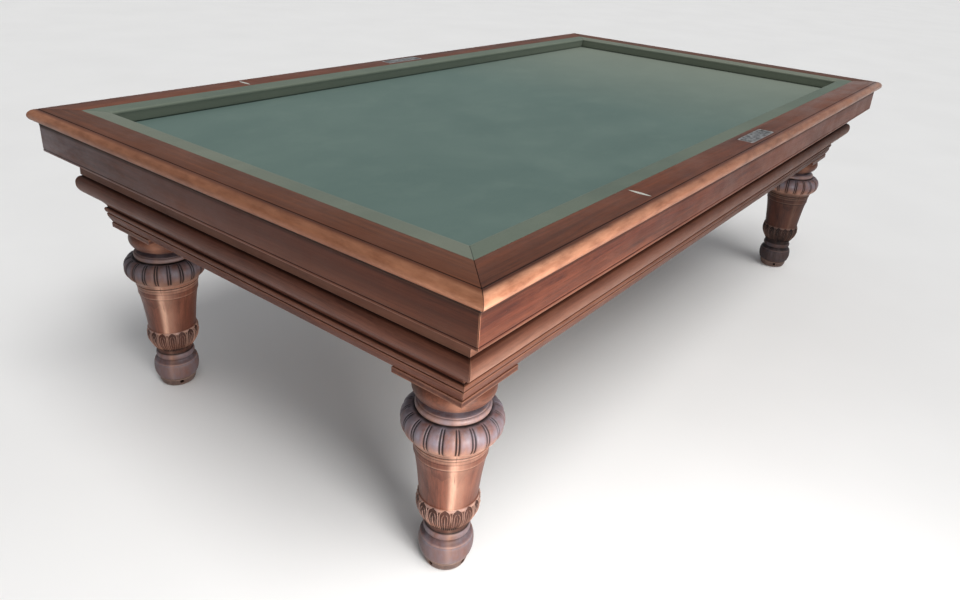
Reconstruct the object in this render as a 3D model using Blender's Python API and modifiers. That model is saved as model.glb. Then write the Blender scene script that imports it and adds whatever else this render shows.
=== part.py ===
"""Carom billiard table: four turned legs on levelling feet, a moulded apron frame, a three-slab slate bed under
stretched cloth, and a mitred rail with rubber cushions. No pockets.

Frame: X along the length, Y across the width, +Z up, origin on the floor under the centre of the table. Metres.
Sections of the rail, fascia, apron and cushion are given as (e, d) pairs in millimetres: e is the distance outward
from the line of the V-groove that runs round the rail, and d is the depth below the top of the rail.
"""

import math

import bmesh
import bpy

# ---------------------------------------------------------------- driving dimensions
MM = 0.001
HEIGHT = 788.0  # floor to the top of the rail
FIELD_L, FIELD_W = 2300.0, 1150.0  # playing field between the cushion noses, 2:1
NOSE_E = -120.0  # cushion nose, inward from the groove line
HALF_X = FIELD_L / 2 - NOSE_E  # groove line, half length
HALF_Y = FIELD_W / 2 - NOSE_E  # groove line, half width
GAP = 0.3  # between touching pieces
MITRE_GAP = 0.2  # each mitred end stands back this far from its diagonal

CLOTH_TOP_D = 40.0  # the cushion nose stands 37 mm above the cloth
CLOTH_T = 1.0
SLATE_TOP_D = CLOTH_TOP_D + CLOTH_T + GAP
SLATE_T = 40.0
SLATE_E = -30.0  # edge of the slate
SLATE_JOINT_X = 413.0  # the two joints between the three slabs
FRAME_TOP_D = SLATE_TOP_D + SLATE_T + GAP
APRON_BOTTOM_D = 298.7

LEG_INSET = 183.5  # leg axis, inward from the groove line
LEG_X, LEG_Y = HALF_X - LEG_INSET, HALF_Y - LEG_INSET
LEG_TOP_D = 367.3
LEG_BOTTOM_D = 762.0
LEG_STEPS = 24
TENON_R, TENON_TOP_D = 30.0, 245.0
TENON_BORE_R = 30.6

SCREW_R = 15.0
BUSH_R, BUSH_L = 20.0, 50.0
FOOT_R = 50.3
FOOT_TRAVEL = 15.0  # the levelling screw's travel
BAR_HOLE_R, BAR_HOLE_Z = 5.5, 15.0  # tommy-bar holes in the rim of each foot
PAD_R = 40.0

CORNERS = {  # name: (x sign, y sign, angle of the foot's first tommy-bar hole in degrees)
    "front_left": (-1, -1, 0.0),
    "front_right": (1, -1, 26.0),
    "back_left": (-1, 1, -20.0),
    "back_right": (1, 1, 0.0),
}

SIGHT_X, SIGHT_E = -690.0, -35.5
PLATE_E, PLATE_L, PLATE_W = -33.5, 172.0, 44.0

# ---------------------------------------------------------------- sections, as (e, d)
RAIL_CAP = [
    (-88.0, 39.7), (-88.0, 2.4), (-70.6, 2.0), (-70.4, 0.0), (-1.6, 0.0), (-0.2, 1.8), (1.4, 0.3),
    (7.0, 0.7), (12.0, 2.0), (16.5, 4.8), (19.8, 8.8), (21.7, 13.0), (22.0, 16.5), (20.9, 21.5),
    (18.0, 26.0), (14.0, 28.9), (11.6, 29.6), (4.4, 30.4), (3.6, 32.2), (3.6, 39.7),
]
FASCIA = [
    (3.4, 40.0), (3.0, 42.0), (3.0, 86.3), (2.3, 87.1), (3.0, 87.9), (3.0, 94.0), (2.3, 94.8), (3.0, 95.6),
    (3.0, 102.6), (2.2, 104.0), (0.9, 104.5), (-22.0, 104.5), (-22.0, 40.0),
]
APRON = [
    (-53.0, FRAME_TOP_D), (-53.0, 167.6), (-56.5, 169.6), (-53.5, 171.0), (-48.5, 173.4), (-44.8, 178.0),
    (-42.3, 184.0), (-41.6, 190.0), (-42.2, 198.6), (-45.0, 207.0), (-50.4, 214.4), (-58.4, 221.0),
    (-68.4, 229.0), (-79.0, 238.0), (-87.0, 246.8), (-90.8, 252.8), (-92.0, 256.6), (-86.4, 257.8),
    (-85.2, 260.8), (-85.8, 265.6), (-88.0, 269.6), (-91.4, 272.0), (-88.6, 273.6), (-89.2, 279.0),
    (-91.6, 286.0), (-94.6, 292.4), (-97.8, APRON_BOTTOM_D),
    (-108.0, APRON_BOTTOM_D), (-108.0, FRAME_TOP_D),
]
RUBBER = [
    (-88.3, 3.6), (-108.0, 4.0), (-115.5, 5.0), (-118.4, 6.6), (-118.6, 8.6), (-117.0, 11.2),
    (-98.6, 35.6), (-88.3, 36.2),
]
CUSHION_CLOTH = [  # a one-millimetre skin round the rubber, from the groove in the rail to the bed
    (-70.9, 0.2), (-88.0, 0.6), (-108.0, 1.6), (-115.8, 3.0), (-119.4, 5.0), (-120.0, 8.4), (-118.4, 11.8),
    (-100.4, 37.4), (-99.2, 38.4), (-88.2, 38.8), (-88.2, 37.8), (-98.8, 37.3), (-99.5, 36.8), (-117.4, 11.3),
    (-119.0, 8.5), (-118.7, 5.8), (-115.4, 4.1), (-108.0, 2.7), (-88.0, 1.7), (-70.9, 1.4),
]

# ---------------------------------------------------------------- turned profiles, as (radius, d)
LEG = [
    (0.0, TENON_TOP_D), (TENON_R, TENON_TOP_D), (TENON_R, LEG_TOP_D), (56.0, LEG_TOP_D), (60.0, 372.0),
    (70.0, 376.2), (76.6, 379.0), (77.4, 387.0), (80.0, 389.0), (92.0, 392.4), (101.0, 400.5), (105.4, 410.5),
    (106.0, 420.5), (103.6, 430.5), (97.5, 440.0), (87.0, 447.6), (83.4, 453.0), (81.4, 462.5), (79.2, 464.0),
    (77.2, 487.0), (72.6, 508.0), (68.6, 540.0), (65.2, 575.0), (63.2, 602.6), (67.2, 606.0), (69.4, 619.0),
    (68.2, 636.0), (61.5, 654.0), (51.5, 670.0), (47.8, 682.0), (51.0, 689.0), (50.2, 696.5), (47.2, 702.0),
    (50.5, 709.0), (57.0, 713.0), (59.4, 726.0), (59.6, 740.0), (56.6, 754.0), (52.5, LEG_BOTTOM_D),
    (20.4, LEG_BOTTOM_D), (20.4, 711.0), (16.4, 711.0), (16.4, 640.0), (0.0, 640.0),
]
SLAB_HALF, SLAB_TOP_D, SLAB_BOTTOM_D = 88.0, 299.0, 312.5
ECHINUS = [  # the round moulding under the capital's square slab; its first two points lie inside the slab
    (0.0, 306.0), (72.0, 306.0), (77.2, 313.6), (77.6, 316.8), (80.4, 319.8), (83.6, 325.6), (85.4, 332.4),
    (85.2, 339.6), (82.8, 346.6), (78.6, 353.0), (71.6, 359.4), (62.4, 364.4), (53.6, 367.0), (0.0, 367.0),
]


def z_of(depth):
    return (HEIGHT - depth) * MM


# ---------------------------------------------------------------- scene, collections, materials
for old in list(bpy.data.objects):
    bpy.data.objects.remove(old, do_unlink=True)

parts = bpy.data.collections.new("billiard_table")
cutters = bpy.data.collections.new("cutters")
bpy.context.scene.collection.children.link(parts)
bpy.context.scene.collection.children.link(cutters)


def material(name, colour, roughness, metallic=0.0):
    made = bpy.data.materials.new(name)
    made.use_nodes = True
    shader = made.node_tree.nodes["Principled BSDF"]
    shader.inputs["Base Color"].default_value = (*colour, 1.0)
    shader.inputs["Roughness"].default_value = roughness
    shader.inputs["Metallic"].default_value = metallic
    made.diffuse_color = (*colour, 1.0)
    return made


RAIL_WOOD = material("rail_wood", (0.17, 0.075, 0.043), 0.4)
APRON_WOOD = material("apron_wood", (0.10, 0.043, 0.027), 0.45)
LEG_WOOD = material("leg_wood", (0.22, 0.10, 0.065), 0.4)
BEAM_WOOD = material("beam_wood", (0.36, 0.24, 0.14), 0.75)
CLOTH = material("cloth", (0.105, 0.16, 0.145), 0.95)
RUBBER_BLACK = material("cushion_rubber", (0.03, 0.03, 0.03), 0.8)
SLATE = material("slate", (0.09, 0.10, 0.11), 0.8)
STEEL = material("steel", (0.35, 0.34, 0.33), 0.45, 1.0)
BRASS = material("brass", (0.60, 0.42, 0.18), 0.4, 1.0)
PEARL = material("pearl", (0.78, 0.76, 0.70), 0.25)
ZINC = material("zinc_plate", (0.42, 0.42, 0.40), 0.4, 1.0)


# ---------------------------------------------------------------- modelling tools
def object_of(name, mesh, mat, at=(0.0, 0.0, 0.0), collection=None):
    made = bpy.data.objects.new(name, mesh)
    made.location = at
    (collection or parts).objects.link(made)
    if mat is not None:
        if not mesh.materials:
            mesh.materials.append(mat)
    else:
        made.hide_render = True
        made.display_type = "WIRE"
    return made


def face_out(bm):
    bmesh.ops.recalc_face_normals(bm, faces=bm.faces)
    if bm.calc_volume(signed=True) < 0:
        bmesh.ops.reverse_faces(bm, faces=bm.faces)


def mesh_of(name, bm):
    face_out(bm)
    mesh = bpy.data.meshes.new(name)
    bm.to_mesh(mesh)
    bm.free()
    return mesh


def box(name, low, high, mat, collection=None):
    """A box between two corners, in millimetres, made from a primitive cube."""
    bm = bmesh.new()
    bmesh.ops.create_cube(bm, size=1.0)
    size = [(b - a) * MM for a, b in zip(low, high)]
    centre = [(a + b) / 2 * MM for a, b in zip(low, high)]
    bmesh.ops.scale(bm, vec=size, verts=bm.verts)
    return object_of(name, mesh_of(name, bm), mat, centre, collection)


def moulding(name, section, side, mat):
    """A section run along one side of the table, with both ends mitred at 45 degrees.

    The section is one face, extruded along the run, and each end is then sheared along the run by its own e.
    """
    along_x = side in ("front", "back")
    run = HALF_X if along_x else HALF_Y
    across = HALF_Y if along_x else HALF_X
    sign = -1.0 if side in ("front", "left") else 1.0
    bm = bmesh.new()
    corners = [bm.verts.new((-run, e, -d)) for e, d in section]
    face = bm.faces.new(corners)
    grown = bmesh.ops.extrude_face_region(bm, geom=[face])
    moved = [v for v in grown["geom"] if isinstance(v, bmesh.types.BMVert)]
    bmesh.ops.translate(bm, vec=(2 * run, 0, 0), verts=moved)
    for v in bm.verts:
        end = math.copysign(1.0, v.co.x)
        along = end * (run + v.co.y - MITRE_GAP)
        out = sign * (across + v.co.y)
        height = HEIGHT + v.co.z
        v.co = (along * MM, out * MM, height * MM) if along_x else (out * MM, along * MM, height * MM)
    return object_of(name, mesh_of(name, bm), mat)


def turned(name, profile, steps, mat, at=(0.0, 0.0, 0.0), closed=False, turn=0.0, smooth=True, collection=None):
    """A profile of (radius, height) in millimetres, turned about Z with a Screw modifier."""
    bm = bmesh.new()
    points = [bm.verts.new((r * MM, 0.0, z * MM)) for r, z in profile]
    for a, b in zip(points, points[1:]):
        bm.edges.new((a, b))
    if closed:
        bm.edges.new((points[-1], points[0]))
    mesh = bpy.data.meshes.new(name)
    bm.to_mesh(mesh)
    bm.free()
    made = object_of(name, mesh, mat, at, collection)
    made.rotation_euler = (0.0, 0.0, math.radians(turn))
    screw = made.modifiers.new("turn", "SCREW")
    screw.steps = screw.render_steps = steps
    screw.use_merge_vertices = True
    screw.merge_threshold = 0.00001
    screw.use_smooth_shade = smooth
    return made


def evaluated_mesh(obj):
    """The object's mesh with its modifiers applied, facing out."""
    bpy.context.view_layer.update()
    graph = bpy.context.evaluated_depsgraph_get()
    mesh = bpy.data.meshes.new_from_object(obj.evaluated_get(graph))
    bm = bmesh.new()
    bm.from_mesh(mesh)
    bmesh.ops.remove_doubles(bm, verts=bm.verts, dist=0.000005)
    face_out(bm)
    bm.to_mesh(mesh)
    bm.free()
    return mesh


def fixed_shape(obj):
    """Applies the object's modifiers, for a shape that is cut or copied."""
    mesh = evaluated_mesh(obj)
    obj.modifiers.clear()
    obj.data = mesh
    return obj


def cylinder_cutter(name, radius, low, high, at, steps=24, lean=None):
    """A cylinder from low to high along Z, or along the direction lean (degrees, in plan) from the point at."""
    bm = bmesh.new()
    bmesh.ops.create_cone(
        bm, cap_ends=True, segments=steps, radius1=radius * MM, radius2=radius * MM, depth=(high - low) * MM
    )
    bmesh.ops.translate(bm, vec=(0, 0, (high + low) / 2 * MM), verts=bm.verts)
    made = object_of(name, mesh_of(name, bm), None, at, cutters)
    if lean is not None:
        made.rotation_euler = (0.0, math.radians(90.0), math.radians(lean))
    return made


def cut(obj, *tools):
    for tool in tools:
        boolean = obj.modifiers.new("cut_" + tool.name, "BOOLEAN")
        boolean.operation = "DIFFERENCE"
        boolean.solver = "EXACT"
        boolean.object = tool
    return obj


def join(obj, tool):
    boolean = obj.modifiers.new("join_" + tool.name, "BOOLEAN")
    boolean.operation = "UNION"
    boolean.solver = "EXACT"
    boolean.object = tool
    return obj


def prism(name, outline, low_d, high_d, mat, at_e_x, side, collection=None):
    """A flat outline of (x, y) in millimetres, filled and extruded between two depths, made from a 2D curve."""
    x, e = at_e_x
    sign = -1.0 if side == "front" else 1.0
    curve = bpy.data.curves.new(name, "CURVE")
    curve.dimensions = "2D"
    curve.fill_mode = "BOTH"
    curve.extrude = (high_d - low_d) / 2 * MM
    spline = curve.splines.new("POLY")
    spline.points.add(len(outline) - 1)
    for point, (px, py) in zip(spline.points, outline):
        point.co = (px * MM, py * MM, 0.0, 1.0)
    spline.use_cyclic_u = True
    flat = bpy.data.objects.new(name + "_curve", curve)
    (collection or parts).objects.link(flat)
    mesh = evaluated_mesh(flat)
    mesh.name = name
    bpy.data.objects.remove(flat, do_unlink=True)
    at = (x * MM, sign * (HALF_Y + e) * MM, z_of((low_d + high_d) / 2))
    return object_of(name, mesh, mat, at, collection)


def shade(obj, degrees=30.0):
    obj.data.shade_smooth()
    obj.data.set_sharp_from_angle(angle=math.radians(degrees))


def lens(length, width, steps=7):
    """A pointed oval, long along Y: two arcs that meet in points."""
    half = length / 2
    radius = (half**2 + (width / 2) ** 2) / width
    swing = math.asin(half / radius)
    right = []
    for i in range(steps + 1):
        a = -swing + 2 * swing * i / steps
        right.append((radius * math.cos(a) - (radius - width / 2), radius * math.sin(a)))
    return right + [(-x, y) for x, y in reversed(right[1:-1])]


def rectangle(length, width, notch=0.0):
    """A rectangle, long along X, with its corners clipped."""
    x, y, n = length / 2, width / 2, notch
    return [(-x + n, -y), (x - n, -y), (x, -y + n), (x, y - n), (x - n, y), (-x + n, y), (-x, y - n), (-x, -y + n)]


# ---------------------------------------------------------------- rail, fascia, cushions, apron
for side in ("front", "back", "left", "right"):
    cap = moulding("rail_cap_" + side, RAIL_CAP, side, RAIL_WOOD)
    shade(cap)
    if side in ("front", "back"):
        sight_hole = prism(
            "sight_recess_" + side, lens(57.0, 11.0), -3.0, 1.6, None, (SIGHT_X, SIGHT_E), side, cutters
        )
        plate_hole = prism(
            "plate_recess_" + side, rectangle(PLATE_L + 0.6, PLATE_W + 0.6, 2.0), -3.0, 1.8, None,
            (0.0, PLATE_E), side, cutters,
        )
        cut(cap, sight_hole, plate_hole)
        prism("sight_" + side, lens(56.0, 10.4), 0.05, 1.3, PEARL, (SIGHT_X, SIGHT_E), side)
        prism("plate_" + side, rectangle(PLATE_L, PLATE_W, 2.0), 0.0, 1.5, ZINC, (0.0, PLATE_E), side)
    shade(moulding("fascia_" + side, FASCIA, side, RAIL_WOOD))
    shade(moulding("apron_" + side, APRON, side, APRON_WOOD))
    shade(moulding("cushion_rubber_" + side, RUBBER, side, RUBBER_BLACK))
    shade(moulding("cushion_cloth_" + side, CUSHION_CLOTH, side, CLOTH))

# ---------------------------------------------------------------- slate bed and its cloth
edge_x, edge_y = HALF_X + SLATE_E, HALF_Y + SLATE_E
slate_low, slate_high = HEIGHT - SLATE_TOP_D - SLATE_T, HEIGHT - SLATE_TOP_D
spans = {
    "slate_left": (-edge_x, -SLATE_JOINT_X - GAP / 2),
    "slate_middle": (-SLATE_JOINT_X + GAP / 2, SLATE_JOINT_X - GAP / 2),
    "slate_right": (SLATE_JOINT_X + GAP / 2, edge_x),
}
for name, (x0, x1) in spans.items():
    box(name, (x0, -edge_y, slate_low), (x1, edge_y, slate_high), SLATE)

# The cloth is stretched over the slabs and turned down over their edges.
skin = CLOTH_T + GAP
turn_down = 24.0
bed_cloth = box(
    "bed_cloth",
    (-edge_x - skin, -edge_y - skin, slate_high - turn_down),
    (edge_x + skin, edge_y + skin, slate_high + skin),
    CLOTH,
)
hollow = box(
    "bed_cloth_hollow",
    (-edge_x - GAP, -edge_y - GAP, slate_high - turn_down - 20.0),
    (edge_x + GAP, edge_y + GAP, slate_high + GAP),
    None,
    cutters,
)
cut(bed_cloth, hollow)

# ---------------------------------------------------------------- frame inside the apron
inner_x, inner_y = HALF_X - 108.0 - GAP, HALF_Y - 108.0 - GAP
frame_top = HEIGHT - FRAME_TOP_D
for name, x in (("cross_beam_left", -SLATE_JOINT_X), ("cross_beam_middle", 0.0), ("cross_beam_right", SLATE_JOINT_X)):
    box(name, (x - 35.0, -inner_y, frame_top - 140.0), (x + 35.0, inner_y, frame_top), BEAM_WOOD)

# ---------------------------------------------------------------- corners: block, capital, leg, levelling foot
leg_profile = [(r, LEG_BOTTOM_D - d) for r, d in LEG]
echinus_profile = [(r, SLAB_TOP_D - d) for r, d in ECHINUS]
foot_z = LEG_BOTTOM_D - HEIGHT  # floor, seen from the bottom of the leg
foot_profile = [
    (SCREW_R + 0.4, 23.6), (47.6, 23.6), (49.8, 22.4), (FOOT_R, 19.5), (FOOT_R, 10.5), (49.2, 6.2), (46.8, 2.6),
    (43.6, 1.0), (PAD_R + 0.6, 1.0), (PAD_R + 0.6, 5.6), (SCREW_R + 0.4, 5.6),
]
screw_profile = [
    (0.0, 126.0), (13.0, 126.0), (SCREW_R, 124.0), (SCREW_R, 5.9), (0.0, 5.9),
]
pad_profile = [(0.0, 5.2), (PAD_R - 0.6, 5.2), (PAD_R, 4.6), (PAD_R, 0.6), (PAD_R - 0.6, 0.0), (0.0, 0.0)]
bush_profile = [(20.0, 0.2), (20.0, BUSH_L), (15.6, BUSH_L), (15.6, 0.2)]

for corner, (sx, sy, hole_turn) in CORNERS.items():
    x, y = sx * LEG_X, sy * LEG_Y
    half = 75.0 - 0.2
    block = box(
        "corner_block_" + corner,
        (x - half, y - half, HEIGHT - APRON_BOTTOM_D + 0.1),
        (x + half, y + half, frame_top),
        BEAM_WOOD,
    )
    bore = cylinder_cutter(
        "tenon_bore_" + corner, TENON_BORE_R, HEIGHT - 380.0, HEIGHT - TENON_TOP_D + 1.0, (x * MM, y * MM, 0.0)
    )
    cut(block, bore)

    capital = turned("leg_capital_" + corner, echinus_profile, LEG_STEPS, LEG_WOOD, (x * MM, y * MM, z_of(SLAB_TOP_D)))
    fixed_shape(capital)
    slab = box(
        "capital_slab_" + corner,
        (x - SLAB_HALF, y - SLAB_HALF, HEIGHT - SLAB_BOTTOM_D),
        (x + SLAB_HALF, y + SLAB_HALF, HEIGHT - SLAB_TOP_D),
        None,
        cutters,
    )
    join(capital, slab)
    cut(capital, bore)

    leg = turned("leg_" + corner, leg_profile, LEG_STEPS, LEG_WOOD, (x * MM, y * MM, z_of(LEG_BOTTOM_D)))
    shade(fixed_shape(leg), 32.0)

    bush = turned(
        "threaded_bush_" + corner, list(reversed(bush_profile)), 20, BRASS, (x * MM, y * MM, z_of(LEG_BOTTOM_D)),
        closed=True,
    )
    shade(fixed_shape(bush))

    foot = turned("levelling_foot_" + corner, foot_profile, 24, LEG_WOOD, (x * MM, y * MM, 0.0), closed=True)
    fixed_shape(foot)
    shade(foot, 40.0)
    for k in range(4):
        hole = cylinder_cutter(
            "bar_hole_%s_%d" % (corner, k), BAR_HOLE_R, 32.0, 56.0, (x * MM, y * MM, BAR_HOLE_Z * MM), 10,
            lean=hole_turn + 90.0 * k,
        )
        cut(foot, hole)

    shade(fixed_shape(turned("levelling_screw_" + corner, screw_profile, 20, STEEL, (x * MM, y * MM, 0.0))))
    shade(fixed_shape(turned("glide_pad_" + corner, pad_profile, 24, STEEL, (x * MM, y * MM, 0.0))))
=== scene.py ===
"""Carom billiard table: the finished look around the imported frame."""

import math

import bmesh
import bpy
import numpy as np
from mathutils import Matrix, Vector


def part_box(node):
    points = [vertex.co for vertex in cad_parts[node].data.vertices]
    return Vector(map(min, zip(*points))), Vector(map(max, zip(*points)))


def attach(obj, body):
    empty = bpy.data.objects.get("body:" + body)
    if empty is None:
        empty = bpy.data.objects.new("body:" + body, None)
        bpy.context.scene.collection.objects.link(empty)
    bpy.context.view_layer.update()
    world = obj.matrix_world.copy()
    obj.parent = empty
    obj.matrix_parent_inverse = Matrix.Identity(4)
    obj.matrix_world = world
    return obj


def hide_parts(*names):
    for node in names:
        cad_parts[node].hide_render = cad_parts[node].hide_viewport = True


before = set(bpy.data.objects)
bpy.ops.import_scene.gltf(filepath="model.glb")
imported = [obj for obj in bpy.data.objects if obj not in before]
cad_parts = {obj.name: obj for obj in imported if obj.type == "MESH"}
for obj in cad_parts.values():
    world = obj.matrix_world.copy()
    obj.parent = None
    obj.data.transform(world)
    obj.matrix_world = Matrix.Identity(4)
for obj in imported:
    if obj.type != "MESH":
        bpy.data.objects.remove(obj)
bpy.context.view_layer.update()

MM = 0.001
TAU = 2 * math.pi
HEIGHT = 788.0
HALF_X, HALF_Y = 1270.0, 695.0
LEG_X, LEG_Y = 1086.5, 511.5
SIDES = ("front", "back", "left", "right")
CORNERS = {
    "front_left": (-1, -1, 0.0),
    "front_right": (1, -1, 26.0),
    "back_left": (-1, 1, -20.0),
    "back_right": (1, 1, 0.0),
}

# ================================================================ node materials
class Tree:
    """A short way to write a node material."""

    def __init__(self, name):
        self.mat = bpy.data.materials.new(name)
        self.mat.use_nodes = True
        self.nt = self.mat.node_tree
        self.nt.nodes.clear()
        self.out = self.nt.nodes.new("ShaderNodeOutputMaterial")
        self.bsdf = self.nt.nodes.new("ShaderNodeBsdfPrincipled")
        self.nt.links.new(self.bsdf.outputs[0], self.out.inputs[0])
        self.x = 0

    def put(self, socket, value):
        if isinstance(value, bpy.types.NodeSocket):
            self.nt.links.new(value, socket)
        elif value is not None:
            if hasattr(socket.default_value, "__len__") and not hasattr(value, "__len__"):
                value = [value] * len(socket.default_value)
            if hasattr(value, "__len__") and len(value) == 3 and len(socket.default_value) == 4:
                value = (*value, 1.0)
            socket.default_value = value

    def node(self, kind, **settings):
        made = self.nt.nodes.new("ShaderNode" + kind)
        self.x += 180
        made.location = (self.x - 4000, 0)
        for key, value in settings.items():
            setattr(made, key, value)
        return made

    def coords(self, scale=(1, 1, 1), rotation=(0, 0, 0), location=(0, 0, 0)):
        tc = self.node("TexCoord")
        mp = self.node("Mapping")
        self.put(mp.inputs["Vector"], tc.outputs["Object"])
        mp.inputs["Location"].default_value = location
        mp.inputs["Rotation"].default_value = rotation
        mp.inputs["Scale"].default_value = scale
        return mp.outputs[0]

    def scaled(self, vector, scale, location=(0, 0, 0)):
        mp = self.node("Mapping")
        self.put(mp.inputs["Vector"], vector)
        mp.inputs["Scale"].default_value = scale
        mp.inputs["Location"].default_value = location
        return mp.outputs[0]

    def noise(self, vector, scale, detail=4.0, rough=0.55, distortion=0.0, out="Fac"):
        n = self.node("TexNoise")
        self.put(n.inputs["Vector"], vector)
        n.inputs["Scale"].default_value = scale
        n.inputs["Detail"].default_value = detail
        n.inputs["Roughness"].default_value = rough
        n.inputs["Distortion"].default_value = distortion
        return n.outputs[out]

    def voronoi(self, vector, scale, feature="F1", out="Distance", randomness=1.0):
        n = self.node("TexVoronoi", feature=feature)
        self.put(n.inputs["Vector"], vector)
        n.inputs["Scale"].default_value = scale
        n.inputs["Randomness"].default_value = randomness
        return n.outputs[out]

    def math(self, op, a, b=None, c=None, clamp=False):
        n = self.node("Math", operation=op, use_clamp=clamp)
        self.put(n.inputs[0], a)
        if b is not None:
            self.put(n.inputs[1], b)
        if c is not None:
            self.put(n.inputs[2], c)
        return n.outputs[0]

    def remap(self, value, a, b, lo=0.0, hi=1.0, smooth=False):
        n = self.node("MapRange", interpolation_type="SMOOTHSTEP" if smooth else "LINEAR", clamp=True)
        self.put(n.inputs["Value"], value)
        for key, v in zip(("From Min", "From Max", "To Min", "To Max"), (a, b, lo, hi)):
            n.inputs[key].default_value = v
        return n.outputs[0]

    def ramp(self, value, stops, interpolation="LINEAR"):
        n = self.node("ValToRGB")
        self.put(n.inputs[0], value)
        n.color_ramp.interpolation = interpolation
        els = n.color_ramp.elements
        while len(els) < len(stops):
            els.new(0.5)
        for el, (at, colour) in zip(els, stops):
            el.position = at
            el.color = (*colour, 1.0)
        return n.outputs[0]

    def mix(self, fac, a, b, blend="MIX"):
        n = self.node("Mix", data_type="RGBA", blend_type=blend, clamp_factor=True)
        self.put(n.inputs[0], fac)
        self.put(n.inputs[6], a)
        self.put(n.inputs[7], b)
        return n.outputs[2]

    def attribute(self, name):
        n = self.node("Attribute", attribute_name=name, attribute_type="GEOMETRY")
        return n.outputs["Fac"]

    def split(self, vector):
        n = self.node("SeparateXYZ")
        self.put(n.inputs[0], vector)
        return n.outputs

    def bump(self, height, strength, distance, normal=None):
        n = self.node("Bump")
        self.put(n.inputs["Height"], height)
        n.inputs["Strength"].default_value = strength
        n.inputs["Distance"].default_value = distance
        if normal is not None:
            self.put(n.inputs["Normal"], normal)
        return n.outputs[0]

    def set(self, **values):
        for key, value in values.items():
            self.put(self.bsdf.inputs[key.replace("_", " ")], value)
        return self.mat


def srgb(r, g, b):
    def one(c):
        c /= 255.0
        return c / 12.92 if c <= 0.04045 else ((c + 0.055) / 1.055) ** 2.4

    return (one(r), one(g), one(b))


ROT = {"x": (0, math.radians(-90), 0), "y": (math.radians(90), 0, 0), "z": (0, 0, 0)}


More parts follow.
